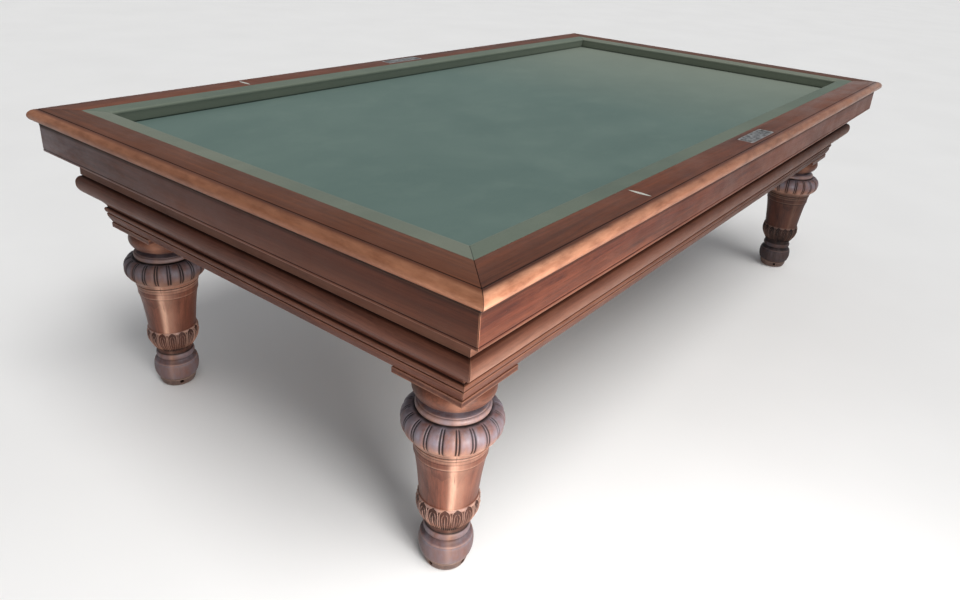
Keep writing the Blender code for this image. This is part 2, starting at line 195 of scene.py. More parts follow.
def wood(name, grain, dark, mid, light, pale, ring=95.0, seed=0.0, rough=(0.34, 0.52), dirt_and_shade=srgb(34, 22, 20),
         dust=None, figure=0.5, coat=0.0, patina_and_sheen=None, gloss=0.14):
    """Old polished hardwood. The figure is one block of wood: growth rings, ribbon stripe, fibres and pores, all
    running along the grain. The surface adds dark wax and dirt in hollows together with painted shade in hollows and
    shaded places, rubbed edges together with painted highlights, a grey film that is partly a painted sheen, a painted
    highlight stripe, and fine scratches."""
    t = Tree(name)
    v = t.coords(rotation=ROT[grain], location=(seed * 0.37, seed * 0.21, seed * 0.13))
    warp = t.noise(t.scaled(v, (5.0, 5.0, 0.9)), 1.0, 3.0, 0.5)
    warp2 = t.noise(t.scaled(v, (26.0, 26.0, 2.2)), 1.0, 2.0, 0.5)
    x, y, z = t.split(v)
    across = t.math("ADD", t.math("MULTIPLY", x, 0.82), t.math("MULTIPLY", y, 0.57))
    rings = t.math("ADD", t.math("MULTIPLY", across, ring), t.math("MULTIPLY", warp, 9.0))
    rings = t.math("ADD", rings, t.math("MULTIPLY", warp2, 1.4))
    saw = t.math("FRACT", rings)
    band = t.remap(t.math("PINGPONG", rings, 1.0), 0.0, 1.0)
    late = t.remap(saw, 0.72, 1.0, 0.0, 1.0, True)
    ribbon = t.noise(t.scaled(v, (34.0, 34.0, 1.3)), 1.0, 2.0, 0.5)
    fibre = t.noise(t.scaled(v, (260.0, 260.0, 7.0)), 1.0, 4.0, 0.6)
    streak = t.noise(t.scaled(v, (75.0, 75.0, 2.0), (3.1, 1.7, 0.4)), 1.0, 3.0, 0.55)
    pores = t.remap(t.noise(t.scaled(v, (1100.0, 1100.0, 45.0)), 1.0, 1.0, 0.5), 0.64, 0.72, 0.0, 1.0)
    broad = t.noise(t.scaled(v, (2.2, 2.2, 0.8), (7.7, 2.3, 5.1)), 1.0, 2.0, 0.5)

    body = t.mix(t.remap(ribbon, 0.32, 0.68), dark, mid)
    body = t.mix(t.math("MULTIPLY", t.remap(streak, 0.45, 0.7), 0.55), body, light)
    body = t.mix(t.math("MULTIPLY", band, 0.22 * figure * 2), body, light)
    body = t.mix(t.math("MULTIPLY", late, 0.45 * figure * 2), body, dark)
    body = t.mix(t.math("MULTIPLY", t.remap(fibre, 0.4, 0.7), 0.5), body, tuple(c * 0.35 for c in dark))
    mottle = t.noise(t.scaled(v, (18.0, 18.0, 7.0), (1.3, 4.1, 2.2)), 1.0, 5.0, 0.68)
    body = t.mix(t.math("MULTIPLY", t.remap(mottle, 0.5, 0.68), 0.42), body, dark)
    body = t.mix(t.math("MULTIPLY", t.remap(mottle, 0.47, 0.3), 0.25), body, light)
    body = t.mix(t.math("MULTIPLY", pores, 0.55), body, dirt_and_shade)
    body = t.mix(t.math("MULTIPLY", t.remap(broad, 0.4, 0.72, smooth=True), 0.45), body, light)

    # Rubbed places are paler, and part of this paling is a painted highlight; hollows and shaded places take a dark wax
    # colour that is partly painted shade.
    speck = t.noise(t.scaled(v, (60.0, 60.0, 18.0)), 1.0, 5.0, 0.65)
    wear_and_painted_light = t.attribute("wear_and_painted_light")
    rubbed_and_highlit = t.math("MULTIPLY", wear_and_painted_light, t.remap(speck, 0.3, 0.6, 0.4, 1.0), clamp=True)
    body = t.mix(rubbed_and_highlit, body, t.mix(t.remap(streak, 0.35, 0.7), pale, tuple(0.72 * a + 0.28 * b for a, b in zip(pale, light))))
    # A grey film that is partly a real bloom and partly a painted sheen.
    if patina_and_sheen is not None:
        film_and_sheen = t.math("MULTIPLY", t.attribute("film_and_sheen"), t.remap(mottle, 0.36, 0.6, 0.15, 1.15), clamp=True)
        body = t.mix(film_and_sheen, body, patina_and_sheen)
    # A painted highlight: a pale stripe laid on where the highlight mask is set.
    streaked = t.math("MULTIPLY", t.remap(fibre, 0.3, 0.7, 0.7, 1.0), t.remap(mottle, 0.3, 0.62, 1.05, 0.6))
    painted_highlight = t.math("MULTIPLY", t.attribute("painted_highlight"), streaked, clamp=True)
    body = t.mix(painted_highlight, body, tuple(min(1.0, 1.15 * c) for c in pale))
    # Dark wax and dirt in the hollows, together with painted shade in hollows and shaded places.
    grime_and_shade = t.attribute("grime_and_shade")
    waxed_and_shaded = t.math("MULTIPLY", grime_and_shade, t.remap(speck, 0.2, 0.6, 0.7, 1.0), clamp=True)
    body = t.mix(waxed_and_shaded, body, dirt_and_shade)
    if dust is not None:
        x0, y0, z0 = t.split(t.node("NewGeometry").outputs["Normal"])
        lying = t.remap(z0, 0.35, 1.0, 0.0, 1.0, True)
        body = t.mix(t.math("MULTIPLY", lying, t.remap(speck, 0.3, 0.7, 0.25, 0.6)), body, dust)

    scratch = t.noise(t.scaled(v, (420.0, 60.0, 30.0)), 1.0, 2.0, 0.6)
    smear = t.noise(v, 11.0, 5.0, 0.6)
    roughness = t.remap(t.math("ADD", t.math("MULTIPLY", smear, 0.7), t.math("MULTIPLY", scratch, 0.3)), 0.32, 0.68, rough[0], rough[1])
    roughness = t.math("ADD", roughness, t.math("MULTIPLY", grime_and_shade, 0.25), clamp=True)
    height = t.math("SUBTRACT", t.math("MULTIPLY", fibre, 0.5), t.math("MULTIPLY", pores, 0.9))
    normal = t.bump(height, 0.3, 0.0004)
    normal = t.bump(t.noise(t.scaled(v, (30.0, 30.0, 8.0)), 1.0, 3.0, 0.5), 0.16, 0.0012, normal)
    t.set(Base_Color=body, Roughness=roughness, Normal=normal)
    t.set(Coat_Weight=coat, Coat_Roughness=0.28, Specular_IOR_Level=gloss)
    return t.mat


# The long rail's pale grey film colour shows only toward the far end of the front rail, where it is a painted sheen.
RAIL_LONG = wood("rail_wood_long", "x", srgb(62, 27, 15), srgb(104, 50, 29), srgb(132, 72, 44), srgb(196, 142, 112), seed=1.0, patina_and_sheen=srgb(146, 130, 126), dirt_and_shade=srgb(20, 9, 7), gloss=0.26)
RAIL_SHORT = wood("rail_wood_short", "y", srgb(61, 28, 17), srgb(99, 53, 34), srgb(125, 73, 47), srgb(180, 126, 96), seed=2.3, patina_and_sheen=srgb(92, 70, 60), dirt_and_shade=srgb(20, 9, 7), gloss=0.2)
FASCIA_LONG = wood("fascia_wood_long", "x", srgb(58, 24, 16), srgb(95, 45, 29), srgb(124, 68, 45), srgb(182, 124, 96), seed=4.0, dirt_and_shade=srgb(20, 9, 7), gloss=0.18)
# The short fascia is a darker copy of the long one, as painted shade on the shaded short sides; its grey film colour is
# a painted sheen toward the far end of the left fascia.
FASCIA_SHORT = wood("fascia_wood_short", "y", srgb(42, 18, 10), srgb(71, 34, 21), srgb(94, 50, 33), srgb(170, 118, 90), seed=5.2, patina_and_sheen=srgb(118, 106, 110), dirt_and_shade=srgb(20, 9, 7), gloss=0.18)
APRON_LONG = wood("apron_wood_long", "x", srgb(60, 30, 23), srgb(90, 50, 38), srgb(114, 72, 56), srgb(172, 124, 100), seed=6.1, patina_and_sheen=srgb(116, 90, 82), dirt_and_shade=srgb(18, 8, 7), gloss=0.12)
APRON_SHORT = wood("apron_wood_short", "y", srgb(60, 30, 23), srgb(90, 50, 38), srgb(112, 70, 54), srgb(164, 116, 94), seed=7.4, patina_and_sheen=srgb(108, 82, 74), dirt_and_shade=srgb(18, 8, 7), gloss=0.12)
LEG_WOOD = wood("leg_wood", "z", srgb(60, 29, 21), srgb(100, 54, 40), srgb(134, 80, 60), srgb(210, 166, 142), ring=70.0, seed=8.8, patina_and_sheen=srgb(124, 118, 128), figure=0.6, rough=(0.34, 0.52), dirt_and_shade=srgb(14, 8, 8), gloss=0.3)
CAPITAL_WOOD = wood("capital_wood", "x", srgb(58, 28, 21), srgb(88, 48, 36), srgb(112, 68, 50), srgb(168, 120, 96), seed=9.9, patina_and_sheen=srgb(92, 78, 76), dirt_and_shade=srgb(18, 8, 7), gloss=0.2)
FOOT_WOOD = wood("foot_wood", "z", srgb(64, 44, 38), srgb(92, 68, 60), srgb(118, 92, 80), srgb(160, 132, 116), ring=60.0, seed=11.3, patina_and_sheen=srgb(112, 98, 95), dirt_and_shade=srgb(14, 8, 8), gloss=0.2)
BEAM_WOOD = wood("beam_wood", "y", srgb(140, 100, 64), srgb(176, 134, 90), srgb(196, 156, 112), srgb(206, 170, 128), ring=60.0, seed=12.0, rough=(0.6, 0.8), coat=0.0)
BLOCK_WOOD = wood("block_wood", "z", srgb(134, 94, 60), srgb(170, 128, 86), srgb(192, 150, 106), srgb(206, 170, 128), ring=60.0, seed=13.0, rough=(0.6, 0.8), coat=0.0)


def felt(name, base, shade, light, grain, far_end_sheen=0.0):
    """Fulled woollen cloth: a fine twill almost hidden under a brushed nap, with faint wear and chalk, painted light on
    the cushion faces and a painted sheen toward the far end.
    """
    t = Tree(name)
    v = t.coords()
    x, y, z = t.split(v)
    along = x if grain == "x" else y
    nap = t.noise(t.scaled(v, (900.0, 900.0, 900.0)), 1.0, 2.0, 0.6)
    brushed = t.noise(t.scaled(v, (90.0, 420.0, 200.0) if grain == "x" else (420.0, 90.0, 200.0)), 1.0, 3.0, 0.6)
    twill = t.math("SINE", t.math("MULTIPLY", t.math("ADD", x, y), TAU / 0.0009))
    clouds = t.noise(t.scaled(v, (2.1, 3.0, 3.0)), 1.0, 4.0, 0.55, 0.6)
    patch = t.noise(t.scaled(v, (9.0, 12.0, 9.0), (3.0, 5.0, 0.0)), 1.0, 5.0, 0.6)
    body = t.mix(t.remap(clouds, 0.3, 0.75, smooth=True), base, shade)
    body = t.mix(t.math("MULTIPLY", t.remap(patch, 0.5, 0.75), 0.25), body, light)
    body = t.mix(t.math("MULTIPLY", t.remap(nap, 0.35, 0.7), 0.22), body, light)
    body = t.mix(t.math("MULTIPLY", t.remap(brushed, 0.4, 0.7), 0.16), body, shade)
    # Paler toward +X: a painted sheen.
    if far_end_sheen:
        body = t.mix(t.remap(x, 0.1, 1.15, 0.0, far_end_sheen), body, srgb(150, 152, 136))
    chalk = t.voronoi(t.scaled(v, (7.0, 7.0, 7.0), (0.3, 0.9, 0.0)), 1.0)
    ragged = t.noise(v, 260.0, 3.0, 0.7)
    dots = t.remap(t.math("ADD", chalk, t.math("MULTIPLY", ragged, 0.05)), 0.036, 0.048, 1.0, 0.0)
    body = t.mix(t.math("MULTIPLY", dots, 0.28), body, srgb(196, 206, 200))
    # The wear mask pales the rubbed cushion nose and lightens the cushion face below it as painted light; creases are
    # darkened, partly as painted shade.
    wear_and_painted_light = t.attribute("wear_and_painted_light")
    body = t.mix(wear_and_painted_light, body, light)
    body = t.mix(t.attribute("grime_and_shade"), body, tuple(c * 0.35 for c in shade))
    height = t.math("ADD", t.math("MULTIPLY", nap, 0.8), t.math("MULTIPLY", twill, 0.12))
    height = t.math("ADD", height, t.math("MULTIPLY", brushed, 0.35))
    normal = t.bump(height, 0.35, 0.0004)
    t.set(Base_Color=body, Roughness=0.92, Normal=normal)
    t.set(Sheen_Weight=0.2, Sheen_Roughness=0.4, Sheen_Tint=(0.75, 0.86, 0.82, 1.0), Specular_IOR_Level=0.15)
    return t.mat


# The bed cloth is made paler toward +X as a painted sheen.
BED_CLOTH = felt("bed_cloth", srgb(98, 118, 112), srgb(88, 109, 104), srgb(118, 136, 127), "x", far_end_sheen=0.5)
RAIL_CLOTH_X = felt("cushion_cloth_long", srgb(106, 116, 103), srgb(92, 104, 94), srgb(128, 136, 122), "x")
# The short cushions' cloth is a lighter copy of the long cushions' cloth: painted light on the short sides.
RAIL_CLOTH_Y = felt("cushion_cloth_short", srgb(117, 122, 109), srgb(102, 111, 100), srgb(138, 144, 130), "y")


def plain(name, base, rough, metal=0.0, scale=60.0, amount=0.35, bump=0.1, fleck=None):
    """A surface with tarnish, scuffs and a fine grain."""
    t = Tree(name)
    v = t.coords()
    big = t.noise(v, scale * 0.3, 4.0, 0.6)
    fine = t.noise(v, scale * 8.0, 3.0, 0.6)
    dark = tuple(c * (1 - amount) for c in base)
    body = t.mix(t.remap(big, 0.35, 0.68), dark, base)
    if fleck is not None:
        body = t.mix(t.remap(t.noise(v, scale * 2.0, 5.0, 0.7), 0.56, 0.68), body, fleck)
    t.set(
        Base_Color=body, Metallic=metal, Roughness=t.remap(fine, 0.3, 0.7, max(rough - 0.1, 0.03), min(rough + 0.12, 1.0)),
        Normal=t.bump(t.math("ADD", t.math("MULTIPLY", fine, 0.5), big), bump, 0.0006),
    )
    return t.mat


RUBBER = plain("cushion_rubber", srgb(38, 38, 38), 0.8, amount=0.4)
SLATE = plain("slate", srgb(86, 92, 96), 0.75, scale=14.0, amount=0.35, bump=0.3, fleck=srgb(110, 114, 116))
STEEL = plain("foot_steel", srgb(140, 138, 134), 0.42, 1.0, amount=0.5, bump=0.15, fleck=srgb(92, 78, 66))
BRASS = plain("bush_brass", srgb(176, 146, 92), 0.4, 1.0, amount=0.4)


def pearl():
    t = Tree("pearl")
    v = t.coords()
    wave = t.noise(t.scaled(v, (150.0, 40.0, 90.0)), 1.0, 3.0, 0.6, 1.2)
    body = t.ramp(wave, [(0.25, srgb(176, 172, 160)), (0.45, srgb(214, 210, 196)), (0.6, srgb(196, 206, 204)), (0.78, srgb(226, 214, 204))])
    body = t.mix(t.attribute("grime_and_shade"), body, srgb(60, 46, 38))
    t.set(Base_Color=body, Roughness=0.3, Normal=t.bump(wave, 0.15, 0.0004))
    t.set(Coat_Weight=0.5, Coat_Roughness=0.15)
    return t.mat


PEARL = pearl()


def tarnished():
    t = Tree("plate_metal")
    v = t.coords()
    mottle = t.noise(t.scaled(v, (70.0, 110.0, 90.0)), 1.0, 5.0, 0.68)
    rubbed_and_highlit = t.noise(t.scaled(v, (26.0, 60.0, 40.0)), 1.0, 3.0, 0.6)
    body = t.mix(t.remap(mottle, 0.36, 0.62), srgb(84, 84, 84), srgb(168, 170, 172))
    body = t.mix(t.math("MULTIPLY", t.remap(rubbed_and_highlit, 0.5, 0.66), 0.6), body, srgb(206, 208, 208))
    body = t.mix(t.attribute("grime_and_shade"), body, srgb(40, 32, 28))
    body = t.mix(t.attribute("wear_and_painted_light"), body, srgb(232, 232, 228))
    t.set(
        Base_Color=body, Metallic=0.75, Roughness=t.remap(mottle, 0.3, 0.7, 0.55, 0.32),
        Normal=t.bump(mottle, 0.3, 0.0005),
    )
    return t.mat


PLATE = tarnished()

# ================================================================ mesh tools
def make(name, points, faces, mat, body="table", attributes=None, smooth=True, sharp=None, replaces=()):
    mesh = bpy.data.meshes.new(name)
    mesh.from_pydata([tuple(p) for p in points], [], [tuple(f) for f in faces])
    mesh.update()
    obj = bpy.data.objects.new(name, mesh)
    bpy.context.scene.collection.objects.link(obj)
    mesh.materials.append(mat)
    for key in ("wear_and_painted_light", "grime_and_shade", "film_and_sheen", "painted_highlight"):
        values = (attributes or {}).get(key)
        layer = mesh.attributes.new(key, "FLOAT", "POINT")
        if values is not None:
            layer.data.foreach_set("value", np.asarray(values, np.float32).ravel())
    if smooth:
        mesh.shade_smooth()
        if sharp is not None:
            mesh.set_sharp_from_angle(angle=math.radians(sharp))
    if body is not None:
        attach(obj, body)
    if replaces:
        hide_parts(*replaces)
    return obj


def spline(points, step=1.2, fillet=0.7):
    """A closed section through (e, d, kind) points. Kind 's' runs smoothly through the point, 'c' is an edge rounded
    by a small fillet. Returns the points in order."""
    n = len(points)
    xy = [np.array(p[:2], float) for p in points]
    kinds = [p[2] for p in points]
    out = []
    for i in range(n):
        p, kind = xy[i], kinds[i]
        q, next_kind = xy[(i + 1) % n], kinds[(i + 1) % n]
        before, after = xy[i - 1], xy[(i + 2) % n]
        if kind == "c":
            r = min(fillet, 0.35 * np.linalg.norm(p - before), 0.35 * np.linalg.norm(q - p))
            a = p + (before - p) / max(np.linalg.norm(before - p), 1e-9) * r
            b = p + (q - p) / max(np.linalg.norm(q - p), 1e-9) * r
            out += [a, 0.25 * a + 0.5 * p + 0.25 * b, b]
        else:
            out.append(p)
        if kind == "c" and next_kind == "c":
            continue
        t0 = (q - before) / 2 if kind == "s" else (q - p)
        t1 = (after - p) / 2 if next_kind == "s" else (q - p)
        length = np.linalg.norm(q - p)
        t0 = t0 / max(np.linalg.norm(t0), 1e-9) * length
        t1 = t1 / max(np.linalg.norm(t1), 1e-9) * length
        count = max(1, int(length / step))
        start = 1 if kind == "s" else 1
        for k in range(start, count):
            u = k / count
            if kind == "c" and u * length < fillet * 1.2:
                continue
            if next_kind == "c" and (1 - u) * length < fillet * 1.2:
                continue
            h = (
                (2 * u**3 - 3 * u**2 + 1) * p + (u**3 - 2 * u**2 + u) * t0
                + (-2 * u**3 + 3 * u**2) * q + (u**3 - u**2) * t1
            )
            out.append(h)
    return np.array(out)


def section_facts(section):
    """Signed bend of the section at each point, averaged over a few millimetres: convex is positive."""
    n = len(section)
    before, after = np.roll(section, 1, 0), np.roll(section, -1, 0)
    a, b = section - before, after - section
    area = 0.5 * float(np.sum(section[:, 0] * after[:, 1] - after[:, 0] * section[:, 1]))
    turn = np.arctan2(a[:, 0] * b[:, 1] - a[:, 1] * b[:, 0], (a * b).sum(1)) * (1 if area > 0 else -1)
    length = np.linalg.norm(b, axis=1)
    at = np.concatenate([[0], np.cumsum(length)[:-1]])
    total = length.sum()
    bend = np.zeros(n)
    for i in range(n):
        gap = np.abs(at - at[i])
        gap = np.minimum(gap, total - gap)
        bend[i] = (turn * np.exp(-((gap / 1.6) ** 2))).sum()
    return bend


def frame_run(name, points, side, mat, replaces, gap=0.25, wear_and_painted_light=None, film_and_sheen=None, step=1.2, fillet=0.7,
              edge=0.8, groove=0.9, chamfer=0.5, lengths=(0.0, 0.5, 1.2, 2.6, 14.0, 60.0, 200.0), sharp=50.0, arris=0.0,
              dark=None, far_end_sheen=0.0, far_end_shade=0.0):
    """A moulding along one side with mitred ends whose edges are eased, so that each corner joint shows as a line."""
    section = spline(points, step, fillet)
    after, before = np.roll(section, -1, 0), np.roll(section, 1, 0)
    area = 0.5 * float(np.sum(section[:, 0] * after[:, 1] - after[:, 0] * section[:, 1]))
    tangent = after - before
    tangent /= np.maximum(np.linalg.norm(tangent, axis=1, keepdims=True), 1e-9)
    normal = np.stack([tangent[:, 1], -tangent[:, 0]], 1) * (1 if area > 0 else -1)
    bend = section_facts(section)
    run = HALF_X if side in ("front", "back") else HALF_Y
    across = HALF_Y if side in ("front", "back") else HALF_X
    sign = -1.0 if side in ("front", "left") else 1.0
    along_x = side in ("front", "back")
    lengths = lengths + ((480.0, 850.0) if run > 1000 else (420.0,))
    stations = [(-1, s) for s in lengths] + [(1, s) for s in reversed(lengths)]
    n = len(section)
    points3, worn3, cavity3, film3 = [], [], [], []
    e, d = section[:, 0], section[:, 1]
    for end, s in stations:
        inset = chamfer * max(0.0, 1.0 - s / 0.5) if s < 0.5 else 0.0
        pe, pd = e - normal[:, 0] * inset, d - normal[:, 1] * inset
        along = end * (run + e - gap - s)
        out = sign * (across + pe)
        z = HEIGHT - pd
        row = np.stack([along, out, z] if along_x else [out, along, z], 1) * MM
        points3.append(row)
        near = max(0.0, 1.0 - s / 1.2)
        w = np.clip(bend * 0.9, 0, 1) * edge * 0.7
        # Paling grows toward each end of a run; on the nosing and the apron ovolo it is partly a painted highlight.
        if wear_and_painted_light is not None:
            w = np.maximum(w, wear_and_painted_light(e, d) * (0.48 + 0.62 * math.exp(-s / 330.0)))
        if arris and 0.4 < s < 2.0:
            w = np.maximum(w, arris * (e > e.min() + 16))
        worn3.append(w * (1 - near))
        deep = dark(e, d) if dark is not None else 0.0
        far = math.exp(-(s if end == 1 else 2 * run - s) / (620.0 if run > 1000 else 260.0))  # weight toward the far end of the run (+X or +Y), for the painted shade and painted sheen there
        # Painted shade toward the far end.
        deep = deep + far_end_shade * far
        cavity3.append(np.clip(np.clip(-bend * 1.2, 0, 1) * groove + near * 0.8 + deep, 0, 1))
        # The far-end part of the film is a painted sheen.
        film3.append((film_and_sheen(e, d) if film_and_sheen is not None else np.zeros(n)) + far_end_sheen * far)
    faces = []
    for k in range(len(stations) - 1):
        for i in range(n):
            j = (i + 1) % n
            faces.append((k * n + i, k * n + j, (k + 1) * n + j, (k + 1) * n + i))
    last = (len(stations) - 1) * n
    faces.append(tuple(range(n)))
    faces.append(tuple(last + i for i in reversed(range(n))))
    obj = make(
        name, np.concatenate(points3), faces, mat,
        attributes={"wear_and_painted_light": np.concatenate(worn3), "grime_and_shade": np.concatenate(cavity3), "film_and_sheen": np.concatenate(film3)},
        replaces=replaces, smooth=False,
    )
    bm = bmesh.new()
    bm.from_mesh(obj.data)
    bmesh.ops.recalc_face_normals(bm, faces=bm.faces)
    if bm.calc_volume(signed=True) < 0:
        bmesh.ops.reverse_faces(bm, faces=bm.faces)
    ends = [f for f in bm.faces if len(f.verts) > 4]
    bmesh.ops.triangulate(bm, faces=ends)
    bm.to_mesh(obj.data)
    bm.free()
    obj.data.shade_smooth()
    obj.data.set_sharp_from_angle(angle=math.radians(sharp))
    return obj


def ramp01(x, a, b):
    return np.clip((x - a) / (b - a), 0, 1)


# ================================================================ rail, fascia, apron
RAIL_CAP = [
    (-88.0, 39.7, "c"), (-88.0, 2.2, "c"), (-70.6, 1.9, "c"), (-70.4, 0.0, "c"), (-1.3, 0.0, "c"), (-0.1, 1.5, "c"),
    (1.2, 0.4, "c"), (5.0, 0.7, "s"), (9.5, 1.6, "s"), (14.0, 3.7, "s"), (18.0, 7.2, "s"), (20.7, 11.4, "s"),
    (22.0, 16.0, "s"), (21.4, 20.6, "s"), (19.2, 24.9, "s"), (15.6, 28.2, "s"), (11.6, 29.6, "c"),
    (4.4, 30.2, "c"), (3.6, 32.2, "c"), (3.6, 39.7, "c"),
]
FASCIA = [
    (3.4, 40.0, "c"), (3.0, 42.0, "s"), (3.0, 60.0, "c"), (3.0, 100.4, "c"),
    (2.1, 101.5, "c"), (3.0, 102.6, "c"), (3.0, 106.2, "s"),
    (2.2, 107.8, "s"), (0.9, 108.4, "c"), (-22.0, 108.4, "c"), (-22.0, 40.0, "c"),
]
APRON = [
    (-53.0, 81.7, "c"), (-53.0, 167.2, "c"), (-56.2, 169.4, "c"), (-53.6, 170.9, "c"), (-49.0, 172.8, "s"),
    (-45.4, 176.8, "s"), (-42.8, 182.6, "s"), (-41.6, 190.0, "s"), (-42.2, 198.6, "s"), (-45.0, 207.0, "s"),
    (-50.4, 214.4, "s"), (-58.4, 221.0, "s"), (-68.4, 229.0, "s"), (-79.0, 238.0, "s"), (-87.0, 246.8, "s"),
    (-90.8, 252.8, "s"), (-92.0, 256.6, "c"), (-86.4, 257.8, "c"), (-85.2, 260.8, "s"), (-85.8, 265.6, "s"),
    (-88.0, 269.6, "s"), (-91.4, 272.0, "c"), (-88.6, 273.6, "c"), (-89.2, 279.0, "s"), (-91.6, 286.0, "s"),
    (-94.6, 292.4, "s"), (-97.8, 298.4, "c"), (-108.0, 298.6, "c"), (-108.0, 81.7, "c"),
]
for side in SIDES:
    long_side = side in ("front", "back")
    k = 1.0 if long_side else 0.8

    # The nosing is paler along its crown: partly rubbed wear, partly a painted highlight, weaker on the short sides.
    def rail_wear_and_highlight(e, d, k=k):
        nosing = ramp01(e, 5.0, 13.0) * (1 - ramp01(d, 20.0, 28.0)) * 0.92 * k
        return nosing

    # Painted shade under the nosing, and a dark line in the V-groove along the top.
    def rail_dark(e, d):
        return 0.95 * ramp01(d, 27.6, 29.8) * (e > 2.0) + 0.9 * np.exp(-(((e - 0.3) / 1.5) ** 2)) * (d < 3.0)

    # Painted shadow under the nosing along the top of the fascia, and a dark line in the V-groove near its foot.
    def fascia_dark(e, d):
        return (0.7 * (1 - ramp01(d, 41.5, 47.0)) + 0.5 * np.exp(-(((d - 101.5) / 0.9) ** 2))) * (e > 0.5)

    # Painted shade on the band under the fascia, stronger on the short sides.
    def apron_dark(e, d, deep=0.12 if long_side else 0.5):
        return deep * (1 - ramp01(d, 168.0, 172.0)) * (e > -60.0)

    # The crown of the ovolo is paler, more on the long sides: a painted highlight together with some rubbing.
    def apron_wear_and_highlight(e, d, most=0.45 if long_side else 0.1):
        return most * np.exp(-(((d - 207.0) / 24.0) ** 2)) * (e > -90.0)

    def rail_film(e, d):
        return (0.0 if long_side else 0.1) * (d < 0.5) * np.ones_like(e)

    # On the front rail the film toward the far end is a painted grey sheen.
    frame_run(
        "rail_" + side, RAIL_CAP, side, RAIL_LONG if long_side else RAIL_SHORT, ["rail_cap_" + side],
        wear_and_painted_light=rail_wear_and_highlight, film_and_sheen=rail_film, groove=1.0, edge=0.15, dark=rail_dark, far_end_sheen=0.6 if side == "front" else 0.0,
    )
    # On the left fascia the film toward the far end is a painted grey sheen.
    frame_run(
        "fascia_board_" + side, FASCIA, side, FASCIA_LONG if long_side else FASCIA_SHORT,
        ["fascia_" + side], groove=0.5, edge=0.5, arris=0.8, sharp=35.0, dark=fascia_dark,
        far_end_sheen=0.6 if side == "left" else 0.0,
    )

    def apron_film(e, d):
        return 0.12 * np.exp(-(((d - 196) / 14.0) ** 2))

    # On the front the moulding is painted darker toward its far end: painted shade.
    frame_run(
        "frame_moulding_" + side, APRON, side, APRON_LONG if long_side else APRON_SHORT,
        ["apron_" + side], film_and_sheen=apron_film, arris=0.55, dark=apron_dark, wear_and_painted_light=apron_wear_and_highlight,
        far_end_shade=0.42 if side == "front" else 0.0,
    )

# ================================================================ cushions and bed
CUSHION = [
    (-70.7, 0.25, "c"), (-76.0, 0.2, "s"), (-88.0, 0.45, "s"), (-100.0, 1.05, "s"), (-109.0, 1.75, "s"),
    (-115.5, 2.9, "s"), (-119.0, 4.8, "s"), (-120.0, 7.6, "s"), (-119.6, 10.6, "s"), (-118.4, 14.4, "s"),
    (-113.4, 35.4, "s"), (-112.2, 37.6, "s"), (-110.6, 38.5, "c"), (-95.3, 38.6, "c"), (-95.3, 37.7, "c"),
    (-110.2, 37.4, "c"), (-112.4, 35.0, "s"), (-117.4, 13.8, "s"), (-118.4, 10.2, "s"), (-118.9, 7.7, "s"),
    (-118.1, 5.6, "s"), (-115.0, 4.0, "s"), (-109.0, 2.85, "s"), (-100.0, 2.15, "s"), (-88.0, 1.55, "s"),
    (-76.0, 1.35, "s"), (-70.9, 1.5, "c"),
]
for side in SIDES:
    long_side = side in ("front", "back")

    # Paler along the nose line where the cloth is rubbed, and lightened on the cushion face below the nose as painted
    # light.
    def cushion_wear_and_face_light(e, d):
        return 0.5 * np.exp(-(((e + 118.0) / 3.0) ** 2)) * (d < 10) + 0.9 * ramp01(d, 10.0, 13.0) * (e < -107.0)

    strip = frame_run(
        "cushion_cover_" + side, CUSHION, side, RAIL_CLOTH_X if long_side else RAIL_CLOTH_Y,
        ["cushion_cloth_" + side], wear_and_painted_light=cushion_wear_and_face_light, gap=0.2, edge=0.0, groove=0.6, chamfer=0.25, step=1.6,
    )
    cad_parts["cushion_rubber_" + side].data.materials.clear()
    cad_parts["cushion_rubber_" + side].data.materials.append(RUBBER)


